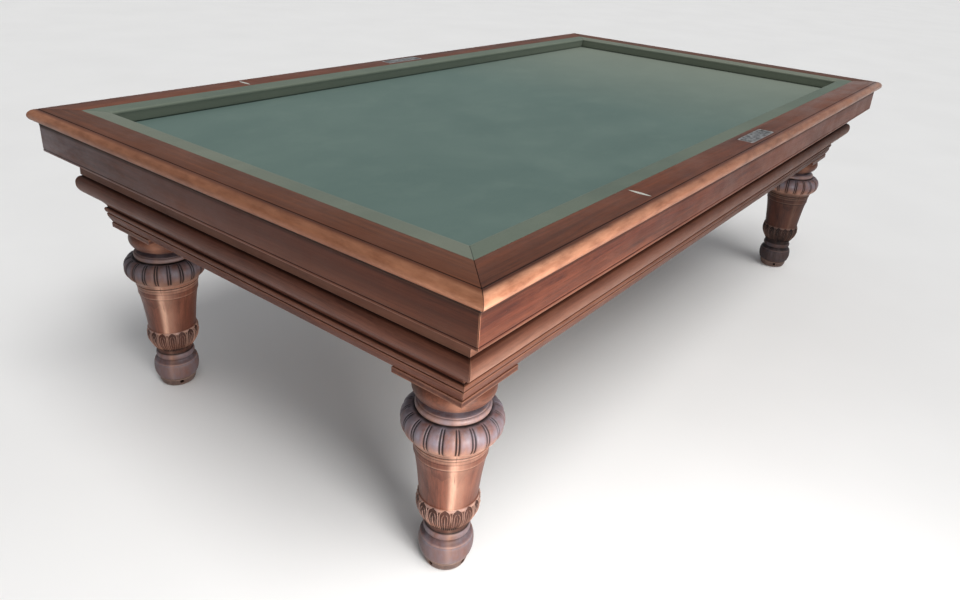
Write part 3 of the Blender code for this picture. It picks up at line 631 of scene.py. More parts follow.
def bed_sheet():
    """One sheet over the slates, pulled down over their edges: a closed skin a millimetre thick."""
    lo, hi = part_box("bed_cloth")
    slate_lo, slate_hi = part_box("slate_middle")
    top = hi[2]
    under = slate_hi[2] + 0.0003
    hx, hy = hi[0], hi[1]
    bottom = lo[2]
    radius = 0.0022
    # Rings from the middle of the sheet out over the edge, as (inset from the edge line, height).
    outer = [(radius * (1 - math.sin(a)), top - radius * (1 - math.cos(a))) for a in np.linspace(0, math.pi / 2, 6)]
    outer += [(0.0, z) for z in np.linspace(top - radius, bottom, 5)[1:]]
    inner = [(0.00095, z) for z in np.linspace(bottom, under - 0.0006, 5)] + [(0.0013, under)]
    points, faces = [], []
    xs = np.linspace(-1, 1, 25)
    ys = np.linspace(-1, 1, 15)
    wobble = np.random.default_rng(4)

    def ring(inset, z):
        ax, ay = hx - inset, hy - inset
        loop = [(x * ax, -ay, z) for x in xs[:-1]] + [(ax, y * ay, z) for y in ys[:-1]]
        loop += [(-x * ax, ay, z) for x in xs[:-1]] + [(-ax, -y * ay, z) for y in ys[:-1]]
        return loop

    size = 2 * (len(xs) - 1) + 2 * (len(ys) - 1)
    rings = [ring(*r) for r in outer + inner]
    for r in rings:
        points += r
    for k in range(len(rings) - 1):
        for i in range(size):
            j = (i + 1) % size
            faces.append((k * size + i, k * size + j, (k + 1) * size + j, (k + 1) * size + i))

    def lid(first, z, flip):
        """The flat field inside one ring, as a grid that shares the ring's points."""
        nonlocal points
        ax, ay = abs(points[first][0]), abs(points[first][1])
        grid = {}
        nx, ny = len(xs), len(ys)
        for a in range(nx):
            for b in range(ny):
                if b == 0 and a < nx - 1:
                    grid[a, b] = first + a
                elif a == nx - 1 and b < ny - 1:
                    grid[a, b] = first + (nx - 1) + b
                elif b == ny - 1 and a > 0:
                    grid[a, b] = first + (nx - 1) + (ny - 1) + (nx - 1 - a)
                elif a == 0 and b > 0:
                    grid[a, b] = first + 2 * (nx - 1) + (ny - 1) + (ny - 1 - b)
                else:
                    grid[a, b] = len(points)
                    points.append((xs[a] * ax, ys[b] * ay, z))
        for a in range(nx - 1):
            for b in range(ny - 1):
                quad = (grid[a, b], grid[a + 1, b], grid[a + 1, b + 1], grid[a, b + 1])
                faces.append(quad if not flip else quad[::-1])

    lid(0, top, False)
    lid((len(rings) - 1) * size, under, True)
    obj = make(
        "bed_cloth_sheet", points, faces, BED_CLOTH, replaces=["bed_cloth"], smooth=False
    )
    bm = bmesh.new()
    bm.from_mesh(obj.data)
    bmesh.ops.recalc_face_normals(bm, faces=bm.faces)
    if bm.calc_volume(signed=True) < 0:
        bmesh.ops.reverse_faces(bm, faces=bm.faces)
    bm.to_mesh(obj.data)
    bm.free()
    obj.data.shade_smooth()
    obj.data.set_sharp_from_angle(angle=math.radians(60))
    return obj


bed_sheet()

# ================================================================ legs
def smooth_profile(points, step=1.5, fillet=0.5):
    """An open turned profile through (r, d, kind)."""
    n = len(points)
    xy = [np.array(p[:2], float) for p in points]
    kinds = [p[2] for p in points]
    out = [xy[0]]
    for i in range(n - 1):
        p, q = xy[i], xy[i + 1]
        before = xy[i - 1] if i > 0 else p
        after = xy[i + 2] if i + 2 < n else q
        length = np.linalg.norm(q - p)
        t0 = (q - before) / 2 if kinds[i] == "s" and i > 0 else (q - p)
        t1 = (after - p) / 2 if kinds[i + 1] == "s" and i + 2 < n else (q - p)
        t0 = t0 / max(np.linalg.norm(t0), 1e-9) * length
        t1 = t1 / max(np.linalg.norm(t1), 1e-9) * length
        count = max(1, int(round(length / step)))
        for k in range(1, count):
            u = k / count
            out.append(
                (2 * u**3 - 3 * u**2 + 1) * p + (u**3 - 2 * u**2 + u) * t0
                + (-2 * u**3 + 3 * u**2) * q + (u**3 - u**2) * t1
            )
        if kinds[i + 1] == "c" and 0 < i + 1 < n - 1:
            r = min(fillet, 0.35 * length, 0.35 * np.linalg.norm(xy[i + 2] - q))
            a = q + (p - q) / length * r
            b = q + (xy[i + 2] - q) / max(np.linalg.norm(xy[i + 2] - q), 1e-9) * r
            out += [a, 0.25 * a + 0.5 * q + 0.25 * b, b]
        else:
            out.append(q)
    return np.array(out)


def stitched(rings, closed_top=True, closed_bottom=True):
    """A skin over rings of points with differing counts. Each ring is (angles, radii, heights)."""
    points, faces, starts = [], [], []
    for angles, radii, heights in rings:
        starts.append(len(points))
        points += list(zip(radii * np.cos(angles), radii * np.sin(angles), heights))
    for k in range(len(rings) - 1):
        A, B = rings[k][0], rings[k + 1][0]
        a0, b0 = starts[k], starts[k + 1]
        na, nb = len(A), len(B)
        if na == nb:
            for i in range(na):
                j = (i + 1) % na
                faces.append((a0 + i, b0 + i, b0 + j, a0 + j))
            continue
        i = j = 0
        while i < na or j < nb:
            next_a = A[i + 1] if i + 1 < na else A[0] + TAU if i < na else 1e9
            next_b = B[j + 1] if j + 1 < nb else B[0] + TAU if j < nb else 1e9
            if j >= nb or (i < na and next_a <= next_b):
                faces.append((a0 + i % na, b0 + j % nb, a0 + (i + 1) % na))
                i += 1
            else:
                faces.append((a0 + i % na, b0 + j % nb, b0 + (j + 1) % nb))
                j += 1
    if closed_top:
        faces.append(tuple(starts[0] + i for i in range(len(rings[0][0]))))
    if closed_bottom:
        n = len(rings[-1][0])
        faces.append(tuple(starts[-1] + i for i in reversed(range(n))))
    return np.array(points), faces, starts


SECTOR = TAU / 16
DEG = math.pi / 180


def torus_angles():
    """Twenty lobes. The rows of points crowd round each parting, where the grooves are."""
    one = list(np.linspace(-3.2, 3.2, 17)) + list(np.linspace(3.2, 18 - 3.2, 8))[1:-1]
    return np.array([(9.0 + a + 18.0 * k) * DEG for k in range(20) for a in one])


def cup_angles():
    return np.arange(16 * 24) / (16 * 24) * TAU


PLAIN_ANGLES = np.arange(240) / 240 * TAU

LEG_PARTS = [  # (kind, profile): the rows of each stretch of the leg
    ("plain", [
        (30.0, 245.0, "c"), (30.0, 367.3, "c"), (49.0, 367.3, "c"), (50.0, 367.6, "s"), (54.0, 369.6, "s"),
        (60.0, 371.2, "s"), (68.0, 372.4, "s"), (71.6, 373.2, "c"), (71.9, 374.6, "c"), (74.2, 374.8, "s"),
        (76.6, 376.6, "s"), (77.5, 380.0, "s"), (77.2, 384.2, "s"), (75.8, 387.2, "s"), (74.6, 388.0, "c"),
    ]),
    ("gadroon", [
        (78.0, 388.6, "c"), (84.0, 389.2, "s"), (91.5, 391.6, "s"), (98.0, 396.2, "s"), (102.9, 403.0, "s"),
        (105.4, 411.0, "s"), (106.0, 419.5, "s"), (104.6, 428.5, "s"), (101.0, 436.4, "s"), (95.4, 443.0, "s"),
        (89.4, 448.0, "s"), (86.0, 451.6, "s"),
    ]),
    ("plain", [
        (84.2, 454.6, "s"), (83.0, 458.4, "s"), (82.4, 460.2, "c"), (80.2, 461.0, "c"), (79.4, 462.6, "c"),
        (81.0, 463.8, "s"), (81.3, 466.2, "s"), (80.3, 468.4, "c"), (79.2, 469.4, "c"), (79.4, 471.6, "c"),
        (79.0, 474.0, "s"), (78.6, 478.4, "c"), (77.9, 479.2, "c"), (78.3, 480.4, "c"), (78.0, 487.0, "s"),
        (77.8, 493.0, "c"), (76.4, 494.4, "c"), (75.4, 500.0, "s"), (73.0, 512.0, "s"), (69.9, 534.0, "s"),
        (66.9, 560.0, "s"), (64.4, 585.0, "s"), (63.2, 598.0, "s"), (62.9, 603.2, "c"),
    ]),
    ("leaves", [
        (64.6, 603.8, "c"), (66.0, 606.4, "s"), (67.8, 612.0, "s"), (69.1, 620.0, "s"), (69.2, 628.0, "s"),
        (67.6, 637.0, "s"), (64.2, 646.4, "s"), (59.4, 656.0, "s"), (54.0, 665.0, "s"), (50.6, 671.0, "s"),
    ]),
    ("plain", [
        (48.4, 673.6, "c"), (48.0, 676.6, "s"), (47.9, 682.0, "c"), (49.8, 684.4, "s"), (51.2, 688.6, "s"),
        (51.2, 693.6, "s"), (49.8, 697.8, "s"), (48.3, 699.4, "c"), (47.4, 702.0, "s"), (48.4, 706.4, "s"),
        (51.6, 709.8, "s"), (55.4, 711.6, "c"), (56.8, 712.4, "c"), (57.4, 714.6, "c"), (57.2, 716.0, "c"),
        (58.8, 719.4, "s"), (59.8, 727.0, "s"), (60.0, 736.5, "s"), (59.0, 746.0, "s"), (56.8, 754.0, "s"),
        (54.6, 759.4, "s"), (52.6, 761.6, "c"), (50.6, 762.0, "c"), (20.6, 762.0, "c"), (20.6, 711.2, "c"),
        (16.6, 711.2, "c"), (16.6, 640.0, "c"),
    ]),
]


def gadroon_offset(angles, d):
    """Lobes parted by a thin bead between two grooves, in millimetres of radius; and how deep in a groove it is."""
    a = (angles / DEG) % 18.0 - 9.0  # degrees from the nearest parting
    fade = ramp01(d, 388.6, 390.6) * (1 - ramp01(d, 439.5, 443.5))
    groove = np.exp(-(((np.abs(a) - 1.75) / 0.92) ** 2))
    crown = 0.9 * (1 - ((9.0 - np.abs(a)) / 8.0) ** 2) - 0.9
    offset = fade * -3.0 * groove + crown * (1 - ramp01(d, 436, 446))
    return offset, fade * groove


def leaf_offset(angles, d):
    """Round-headed leaves that touch, each with a raised rim, an inner arch and three ribs running to the neck."""
    a = ((angles / DEG) % 22.5 - 11.25) / 11.25  # -1..1 across a leaf
    t = (d - 604.6) / (672.0 - 604.6)
    s = np.abs(a)

    def arch(top, span, wide, taper):
        head = np.sqrt(np.clip(1 - ((top + span - np.clip(t, top, top + span)) / span) ** 2, 0, 1))
        return wide * head * (1 - taper * ramp01(t, 0.3, 1.0))

    outer = arch(0.015, 0.19, 0.95, 0.08)
    inner = arch(0.15, 0.15, 0.50, 0.12)
    rim = np.exp(-(((s - outer + 0.075) / 0.062) ** 2)) * (t > 0.015)
    fold = np.exp(-(((s - inner + 0.03) / 0.055) ** 2)) * (t > 0.15) * 0.75
    rib = np.exp(-((s / 0.05) ** 2)) * ramp01(t, 0.24, 0.32) * 0.8
    fade = ramp01(t, -0.02, 0.02) * (1 - ramp01(t, 0.94, 1.0))
    raised = np.maximum(np.maximum(rim, fold), rib)
    inside = s < outer
    spandrel = (~inside) * (1 - ramp01(t, 0.07, 0.13))
    offset = np.where(inside, -2.6, -3.0) + 3.0 * raised + 2.2 * spandrel
    deep = np.clip(1 - raised * 1.25 - 0.8 * spandrel, 0, 1)
    return offset * fade, deep * fade, np.maximum(raised, 0.7 * spandrel) * fade


def leg_mesh():
    rings, wear_and_painted_light, grime_and_shade, film_and_sheen, painted_highlight = [], [], [], [], []
    for kind, profile in LEG_PARTS:
        rows = smooth_profile(profile, 1.3 if kind in ("gadroon", "leaves") else 2.6)
        bend = np.zeros(len(rows))
        a, b = np.diff(rows, axis=0)[:-1], np.diff(rows, axis=0)[1:]
        turn = np.arctan2(a[:, 1] * b[:, 0] - a[:, 0] * b[:, 1], (a * b).sum(1))
        at = np.concatenate([[0], np.cumsum(np.linalg.norm(np.diff(rows, axis=0), axis=1))])
        for i in range(len(rows)):
            bend[i] = -(turn * np.exp(-(((at[1:-1] - at[i]) / 2.0) ** 2))).sum()
        for (r, d), bent in zip(rows, bend):
            if kind == "gadroon":
                angles = torus_angles()
                offset, deep = gadroon_offset(angles, d)
            elif kind == "leaves":
                angles = cup_angles()
                offset, deep, raised = leaf_offset(angles, d)
            else:
                angles = PLAIN_ANGLES
                offset, deep = np.zeros(len(angles)), np.zeros(len(angles))
            rings.append((angles, r + offset, np.full(len(angles), HEIGHT - d)))
            # Dark wax in grooves and hollows, together with painted shade there.
            c = np.clip(deep * 1.15 + np.clip(-bent * 1.1, 0, 0.9), 0, 1)
            w = np.clip(bent * 0.6, 0, 0.4) * np.ones(len(angles))
            f = np.zeros(len(angles))
            low = ramp01(d, 412, 436)
            if kind == "gadroon":
                f += 0.8 * (1 - low)
                w = np.maximum(w, 0.42 * low * (1 - deep))
            if kind == "leaves":
                w = np.zeros(len(angles))
                f += 0.35 * raised * (1 - ramp01(d, 626, 660))
                w = np.clip(0.85 * raised * (1 - 0.6 * ramp01(d, 640, 670)), 0, 1)
                c = np.clip(0.72 * deep * (1 - 0.3 * ramp01(d, 630, 655)), 0, 1)
            if 373.0 < d < 387.0:
                f += 0.55
                w = np.maximum(w, 0.38)
                c = c * 0.5
            # A painted shadow under the ring.
            if 386.8 < d < 391.0:
                c = np.maximum(c, 0.95 * (1 - ramp01(r, 78.0, 84.5)))
            if 446 < d < 478:
                w = np.maximum(w, 0.22)
            if 662 < d < 684:
                c = np.clip(c + 0.5, 0, 1)
            if d <= 373.0:
                f += 0.85 * ramp01(r, 50, 56)
                c = c * (0.25 + 0.75 * (r > 70.5))
            if 684 <= d < 718:
                f += 0.55
                c = np.maximum(c, 0.2)
            if 716 <= d < 764:
                w = np.maximum(w, 0.1)
                c = np.maximum(c, 0.27)
                f += 0.5
            # A painted highlight: a pale stripe on the side that faces out of the corner, standing in for the chatoyant
            # sheen there; near its middle runs the dark glue line where the two halves of the blank meet.
            away = (angles / DEG + 134.5 + 180) % 360 - 180
            strength = 0.8 if 479 < d < 604 else 0.45 if 446 < d <= 479 else 0.14 if d <= 446 else 0.22
            wander = 0.5 * math.sin(d * 0.06) + 0.8 * math.sin(d * 0.021 + 1.0)
            x = (away - wander + 1.0) / 6.0
            side = np.exp(-np.abs((away - wander - 8.0) / 15.0) ** 2.0)
            k = (strength * (0.8 * np.exp(-np.abs(x) ** 2.4) + 0.35 * side)) * (1 - deep)
            if 452 < d < 604:
                k = k + 0.0
                c = np.clip(c + 0.55 * np.exp(-(((away - wander - 1.4) / 0.5) ** 2)), 0, 1)
            painted_highlight.append(k)
            wear_and_painted_light.append(w)
            grime_and_shade.append(c)
            film_and_sheen.append(f)
    points, faces, starts = stitched(rings)
    points = points * MM
    return points, faces, {
        "wear_and_painted_light": np.concatenate(wear_and_painted_light), "grime_and_shade": np.concatenate(grime_and_shade), "film_and_sheen": np.concatenate(film_and_sheen),
        "painted_highlight": np.concatenate(painted_highlight),
    }


def facing_out(obj, sharp=40.0):
    bm = bmesh.new()
    bm.from_mesh(obj.data)
    bmesh.ops.recalc_face_normals(bm, faces=bm.faces)
    if bm.calc_volume(signed=True) < 0:
        bmesh.ops.reverse_faces(bm, faces=bm.faces)
    big = [f for f in bm.faces if len(f.verts) > 4]
    if big:
        bmesh.ops.triangulate(bm, faces=big)
    bm.to_mesh(obj.data)
    bm.free()
    obj.data.shade_smooth()
    obj.data.set_sharp_from_angle(angle=math.radians(sharp))


# How strong the painted highlight stripe is on each leg.
LEG_HIGHLIGHT = {"front_left": 1.0, "front_right": 0.3, "back_left": 1.15, "back_right": 0.8}
LEG_TURN = {"front_left": 0.0, "front_right": 0.0, "back_left": 0.0, "back_right": 0.0}
leg_points, leg_faces, leg_facts = leg_mesh()
for corner, (sx, sy, hole_turn) in CORNERS.items():
    turn = LEG_TURN[corner] * DEG
    c, s = math.cos(turn), math.sin(turn)
    placed = leg_points.copy()
    placed[:, 0] = leg_points[:, 0] * c - leg_points[:, 1] * s
    placed[:, 1] = leg_points[:, 0] * s + leg_points[:, 1] * c
    facts = dict(leg_facts)
    facts["painted_highlight"] = leg_facts["painted_highlight"] * LEG_HIGHLIGHT[corner]
    depth = HEIGHT - leg_points[:, 2] / MM
    # Painted shade: the lower front-right leg and the back-left torus are darkened.
    shade = 0.55 * ramp01(depth, 440, 455) if corner == "front_right" else 0.4 * (1 - ramp01(depth, 440, 455)) * (corner == "back_left")
    facts["grime_and_shade"] = np.clip(leg_facts["grime_and_shade"] + shade, 0, 1)
    leg = make("turned_leg_" + corner, placed, leg_faces, LEG_WOOD, body=None, attributes=facts, smooth=False)
    facing_out(leg, 55.0)
    leg.location = (sx * LEG_X * MM, sy * LEG_Y * MM, 0)
    bpy.context.view_layer.update()
    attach(leg, "table")
    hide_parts("leg_" + corner)

# ---------------------------------------------------------------- capitals: square slab over a bold round echinus
SLAB = [(31.0, 299.0, "c"), (87.4, 299.0, "c"), (88.0, 299.6, "c"), (88.0, 311.9, "c"), (87.4, 312.5, "c"), (31.0, 312.5, "c")]
ECHINUS = [
    (31.0, 312.3, "c"), (76.4, 312.3, "c"), (77.2, 314.2, "c"), (77.6, 316.8, "c"), (80.4, 319.8, "s"), (83.6, 325.6, "s"),
    (85.4, 332.4, "s"), (85.2, 339.6, "s"), (82.8, 346.6, "s"), (78.6, 353.0, "s"), (71.6, 359.4, "s"),
    (62.4, 364.4, "s"), (53.6, 367.0, "c"), (31.0, 367.0, "c"),
]


def capital_mesh():
    points, faces, wear_and_painted_light, grime_and_shade, film_and_sheen, painted_highlight = [], [], [], [], [], []
    across = np.array([-1, -0.985, -0.9, -0.5, 0, 0.5, 0.9, 0.985, 1.0])
    for section, square in ((SLAB, True), (ECHINUS, False)):
        rows = smooth_profile(section, 2.0)
        a, b = np.diff(rows, axis=0)[:-1], np.diff(rows, axis=0)[1:]
        turn = np.arctan2(a[:, 1] * b[:, 0] - a[:, 0] * b[:, 1], (a * b).sum(1))
        at = np.concatenate([[0], np.cumsum(np.linalg.norm(np.diff(rows, axis=0), axis=1))])
        bend = np.array([-(turn * np.exp(-(((at[1:-1] - x) / 2.0) ** 2))).sum() for x in at])
        if square:
            loop = [(k, u) for k in range(4) for u in across[:-1]]
        else:
            loop = list(np.arange(160) / 160 * TAU)
        n, first = len(loop), len(points)
        for (h, d), bent in zip(rows, bend):
            for item in loop:
                if square:
                    k, u = item
                    edge = abs(u) > 0.999
                    x, y = (h - 0.15, u * (h - 0.15)) if edge else (h, u * h)
                    c, s = math.cos(k * math.pi / 2), math.sin(k * math.pi / 2)
                    points.append((x * c - y * s, x * s + y * c, HEIGHT - d))
                    wear_and_painted_light.append(max(0.45 * edge, float(np.clip(bent * 0.6, 0, 0.4))))
                    painted_highlight.append(0.0)
                else:
                    edge = False
                    points.append((h * math.cos(item), h * math.sin(item), HEIGHT - d))
                    wear_and_painted_light.append(float(np.clip(bent * 0.6, 0, 0.3)))
                    # A painted highlight stripe on the echinus, on the side that faces out of the corner.
                    away = (item / DEG + 134.5 + 180) % 360 - 180
                    painted_highlight.append(0.4 * math.exp(-((away / 12.0) ** 2)))
                grime_and_shade.append(float(np.clip(-bent * 1.1, 0, 0.9)))
                film_and_sheen.append(0.0 if square else 0.45 * float(ramp01(d, 330, 360)))
        for r in range(len(rows) - 1):
            for i in range(n):
                j = (i + 1) % n
                faces.append((first + r * n + i, first + (r + 1) * n + i, first + (r + 1) * n + j, first + r * n + j))
        last = first + (len(rows) - 1) * n
        for i in range(n):  # the bore for the leg's tenon
            j = (i + 1) % n
            faces.append((last + i, first + i, first + j, last + j))
    return np.array(points) * MM, faces, {"wear_and_painted_light": wear_and_painted_light, "grime_and_shade": grime_and_shade, "film_and_sheen": film_and_sheen, "painted_highlight": painted_highlight}


cap_points, cap_faces, cap_facts = capital_mesh()
for corner, (sx, sy, hole_turn) in CORNERS.items():
    cap = make("capital_" + corner, cap_points, cap_faces, CAPITAL_WOOD, body=None, attributes=cap_facts, smooth=False)
    facing_out(cap, 35.0)
    cap.location = (sx * LEG_X * MM, sy * LEG_Y * MM, 0)
    bpy.context.view_layer.update()
    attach(cap, "table")
    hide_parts("leg_capital_" + corner)

# ---------------------------------------------------------------- levelling feet
FOOT = [
    (15.4, 764.4, "c"), (47.6, 764.4, "c"), (49.4, 765.2, "c"), (50.4, 767.0, "c"), (49.9, 770.4, "s"),
    (49.9, 772.6, "c"), (49.2, 773.4, "c"), (48.9, 776.0, "s"), (47.9, 780.0, "s"), (46.2, 784.0, "s"),
    (44.2, 786.6, "c"), (40.6, 787.0, "c"), (40.6, 782.4, "c"), (15.4, 782.4, "c"),
]


def foot(corner, sx, sy, hole_turn):
    rows = smooth_profile(FOOT, 1.8)
    a, b = np.diff(rows, axis=0)[:-1], np.diff(rows, axis=0)[1:]
    turn = np.arctan2(a[:, 1] * b[:, 0] - a[:, 0] * b[:, 1], (a * b).sum(1))
    at = np.concatenate([[0], np.cumsum(np.linalg.norm(np.diff(rows, axis=0), axis=1))])
    bend = np.array([-(turn * np.exp(-(((at[1:-1] - x) / 1.5) ** 2))).sum() for x in at])
    n = 96
    angles = np.arange(n) / n * TAU
    points, wear_and_painted_light, grime_and_shade = [], [], []
    for (r, d), bent in zip(rows, bend):
        points += [(r * math.cos(t) * MM, r * math.sin(t) * MM, (HEIGHT - d) * MM) for t in angles]
        wear_and_painted_light += [np.clip(bent * 0.8, 0, 0.6)] * n
        grime_and_shade += [np.clip(-bent, 0, 0.8)] * n
    faces = []
    m = len(rows)
    for k in range(m):
        k2 = (k + 1) % m
        for i in range(n):
            j = (i + 1) % n
            faces.append((k * n + i, k2 * n + i, k2 * n + j, k * n + j))
    obj = make(
        "foot_" + corner, points, faces, FOOT_WOOD, body=None,
        attributes={"wear_and_painted_light": wear_and_painted_light, "grime_and_shade": grime_and_shade, "film_and_sheen": [0.25] * len(wear_and_painted_light)}, smooth=False,
    )
    facing_out(obj, 40.0)
    tools = []
    for k in range(4):
        bm = bmesh.new()
        bmesh.ops.create_cone(bm, cap_ends=True, segments=32, radius1=0.0055, radius2=0.0055, depth=0.022)
        mesh = bpy.data.meshes.new("hole")
        bm.to_mesh(mesh)
        bm.free()
        tool = bpy.data.objects.new("hole", mesh)
        bpy.context.scene.collection.objects.link(tool)
        t = math.radians(hole_turn + 90 * k)
        tool.matrix_world = (
            Matrix.Translation((0.043 * math.cos(t), 0.043 * math.sin(t), 0.015))
            @ Matrix.Rotation(t, 4, "Z") @ Matrix.Rotation(math.pi / 2, 4, "Y")
        )
        cutter = obj.modifiers.new("hole%d" % k, "BOOLEAN")
        cutter.operation, cutter.solver, cutter.object = "DIFFERENCE", "EXACT", tool
        tools.append(tool)
    bpy.context.view_layer.update()
    graph = bpy.context.evaluated_depsgraph_get()
    cut_mesh = bpy.data.meshes.new_from_object(obj.evaluated_get(graph))
    obj.modifiers.clear()
    old = obj.data
    obj.data = cut_mesh
    bpy.data.meshes.remove(old)
    for tool in tools:
        bpy.data.objects.remove(tool, do_unlink=True)
    co = np.zeros(len(cut_mesh.vertices) * 3)
    cut_mesh.vertices.foreach_get("co", co)
    co = co.reshape(-1, 3)
    # The insides of the holes in the foot are painted dark: painted shade.
    if "grime_and_shade" in cut_mesh.attributes:
        layer = cut_mesh.attributes["grime_and_shade"]
        values = np.zeros(len(co), np.float32)
        layer.data.foreach_get("value", values)
        radial = np.hypot(co[:, 0], co[:, 1])
        inside = (radial < 0.0462) & (radial > 0.030) & (co[:, 2] > 0.0085) & (co[:, 2] < 0.0215)
        values[inside] = 0.95
        layer.data.foreach_set("value", values)
    cut_mesh.shade_smooth()
    cut_mesh.set_sharp_from_angle(angle=math.radians(40))
    obj.location = (sx * LEG_X * MM, sy * LEG_Y * MM, 0)
    bpy.context.view_layer.update()
    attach(obj, "foot_" + corner)
    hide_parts("levelling_foot_" + corner)
    return obj


for corner, (sx, sy, hole_turn) in CORNERS.items():
    foot(corner, sx, sy, hole_turn)

# ================================================================ sights and plates
def inlay(name, outline, z_top, depth, mat, at, replaces, rise=0.0, rings=(1.0, 0.93, 0.7, 0.35), facts=None):
    """A flat inlay with a slightly domed, eased face, built inward from its outline."""
    outline = np.array(outline)
    n = len(outline)
    points, wear_and_painted_light, grime_and_shade = [], [], []
    for z in (z_top - depth, z_top - 0.35):
        points += [(x, y, z) for x, y in outline]
        grime_and_shade += [0.9] * n
    for r in rings:
        lift = rise * (1 - r * r)
        inset = 0.3 if r == 1.0 else 0.0
        shrink = 1 - inset / np.abs(outline).max() if r == 1.0 else r
        points += [(x * shrink, y * shrink, z_top + lift) for x, y in outline]
        grime_and_shade += [0.35 if r == 1.0 else 0.0] * n
    faces = [tuple(reversed(range(n)))]
    levels = len(points) // n
    for k in range(levels - 1):
        for i in range(n):
            j = (i + 1) % n
            faces.append((k * n + i, k * n + j, (k + 1) * n + j, (k + 1) * n + i))
    centre = len(points)
    points.append((0, 0, z_top + rise))
    grime_and_shade.append(0.0)
    base = (levels - 1) * n
    for i in range(n):
        faces.append((base + i, base + (i + 1) % n, centre))
    points = np.array(points) * MM + np.array(at) * MM
    obj = make(name, points, faces, mat, body=None, attributes={"grime_and_shade": grime_and_shade}, smooth=False)
    facing_out(obj, 30.0)
    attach(obj, "table")
    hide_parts(*replaces)
    return obj


def lens_outline(length, width, steps=14):
    half = length / 2
    radius = (half**2 + (width / 2) ** 2) / width
    swing = math.asin(half / radius)
    right = []
    for i in range(steps + 1):
        a = -swing + 2 * swing * i / steps
        right.append((radius * math.cos(a) - (radius - width / 2), radius * math.sin(a)))
    return right + [(-x, y) for x, y in reversed(right[1:-1])]


def recess(rail, tools):
    """Cuts flat-bottomed recesses of the given outlines into the top of a rail."""
    made = []
    for outline, (cx, cy), depth in tools:
        bm = bmesh.new()
        low = [bm.verts.new(((x + cx) * MM, (y + cy) * MM, (HEIGHT - depth) * MM)) for x, y in outline]
        high = [bm.verts.new(((x + cx) * MM, (y + cy) * MM, (HEIGHT + 3.0) * MM)) for x, y in outline]
        n = len(low)
        bm.faces.new(low)
        bm.faces.new(high)
        for i in range(n):
            bm.faces.new((low[i], low[(i + 1) % n], high[(i + 1) % n], high[i]))
        bmesh.ops.recalc_face_normals(bm, faces=bm.faces)
        if bm.calc_volume(signed=True) < 0:
            bmesh.ops.reverse_faces(bm, faces=bm.faces)
        mesh = bpy.data.meshes.new("recess")
        bm.to_mesh(mesh)
        bm.free()
        tool = bpy.data.objects.new("recess", mesh)
        bpy.context.scene.collection.objects.link(tool)
        cutter = rail.modifiers.new("recess%d" % len(made), "BOOLEAN")
        cutter.operation, cutter.solver, cutter.object = "DIFFERENCE", "EXACT", tool
        made.append(tool)
    bpy.context.view_layer.update()
    graph = bpy.context.evaluated_depsgraph_get()
    mesh = bpy.data.meshes.new_from_object(rail.evaluated_get(graph))
    rail.modifiers.clear()
    old = rail.data
    rail.data = mesh
    bpy.data.meshes.remove(old)
    for tool in made:
        bpy.data.objects.remove(tool, do_unlink=True)
    mesh.shade_smooth()
    mesh.set_sharp_from_angle(angle=math.radians(50))


PLATE_L, PLATE_W = 172.0, 44.0


def plate_relief(x, y):
    """Height of the plate's face, in millimetres below its rim: border, end panels, a blank oval and scrolled stems."""
    ax, ay = np.abs(x), np.abs(y)
    edge = np.minimum(PLATE_L / 2 - ax, PLATE_W / 2 - ay)
    edge = np.minimum(edge, (PLATE_L / 2 + PLATE_W / 2 - 4.0 - ax - ay) / math.sqrt(2))
    h = -0.3 * np.clip(1 - edge / 0.6, 0, 1)
    field = ramp01(edge, 2.4, 3.2)
    h = h - 0.55 * field
    h = h + 0.3 * ramp01(edge, 4.6, 5.2) * (1 - ramp01(edge, 5.8, 6.4))
    panel = ramp01(ax, 66.0, 67.0) * (1 - ramp01(ax, 75.0, 76.0)) * (1 - ramp01(ay, 14.0, 15.0))
    h = h - 0.45 * panel
    diamond = np.clip(1 - (np.abs(ax - 70.8) / 3.2 + ay / 9.0), 0, 1)
    h = h + 0.7 * np.minimum(diamond * 2.5, 1) * (panel > 0.5)
    oval = np.sqrt((x / 25.0) ** 2 + (y / 11.5) ** 2)
    bead = np.exp(-(((oval - 1.0) / 0.07) ** 2)) + 0.6 * np.exp(-(((oval - 0.82) / 0.035) ** 2))
    h = h + 0.42 * bead
    k = np.clip((ax - 27.0) / 36.0, 0, 1)
    stem = 8.0 * np.sin(k * math.pi * 2) * (1 - 0.3 * k)
    on = (ax > 27.0) & (ax < 63.0)
    h = h + 0.4 * on * (np.exp(-(((y - stem) / 0.9) ** 2)) + np.exp(-(((y + stem) / 0.9) ** 2)))
    h = h + 0.06 * np.sin((x + y) * 2.1) * field * (oval > 1.1) * (panel < 0.5)
    pin = np.sqrt((ax - 80.4) ** 2 + (ay - 16.4) ** 2)
    dome = 0.5 * np.sqrt(np.clip(1 - (pin / 2.8) ** 2, 0, 1))
    h = np.where(pin < 2.8, -0.5 + dome, h - 0.25 * np.exp(-(((pin - 3.2) / 0.35) ** 2)))
    return np.minimum(h, 0.0), pin < 2.6


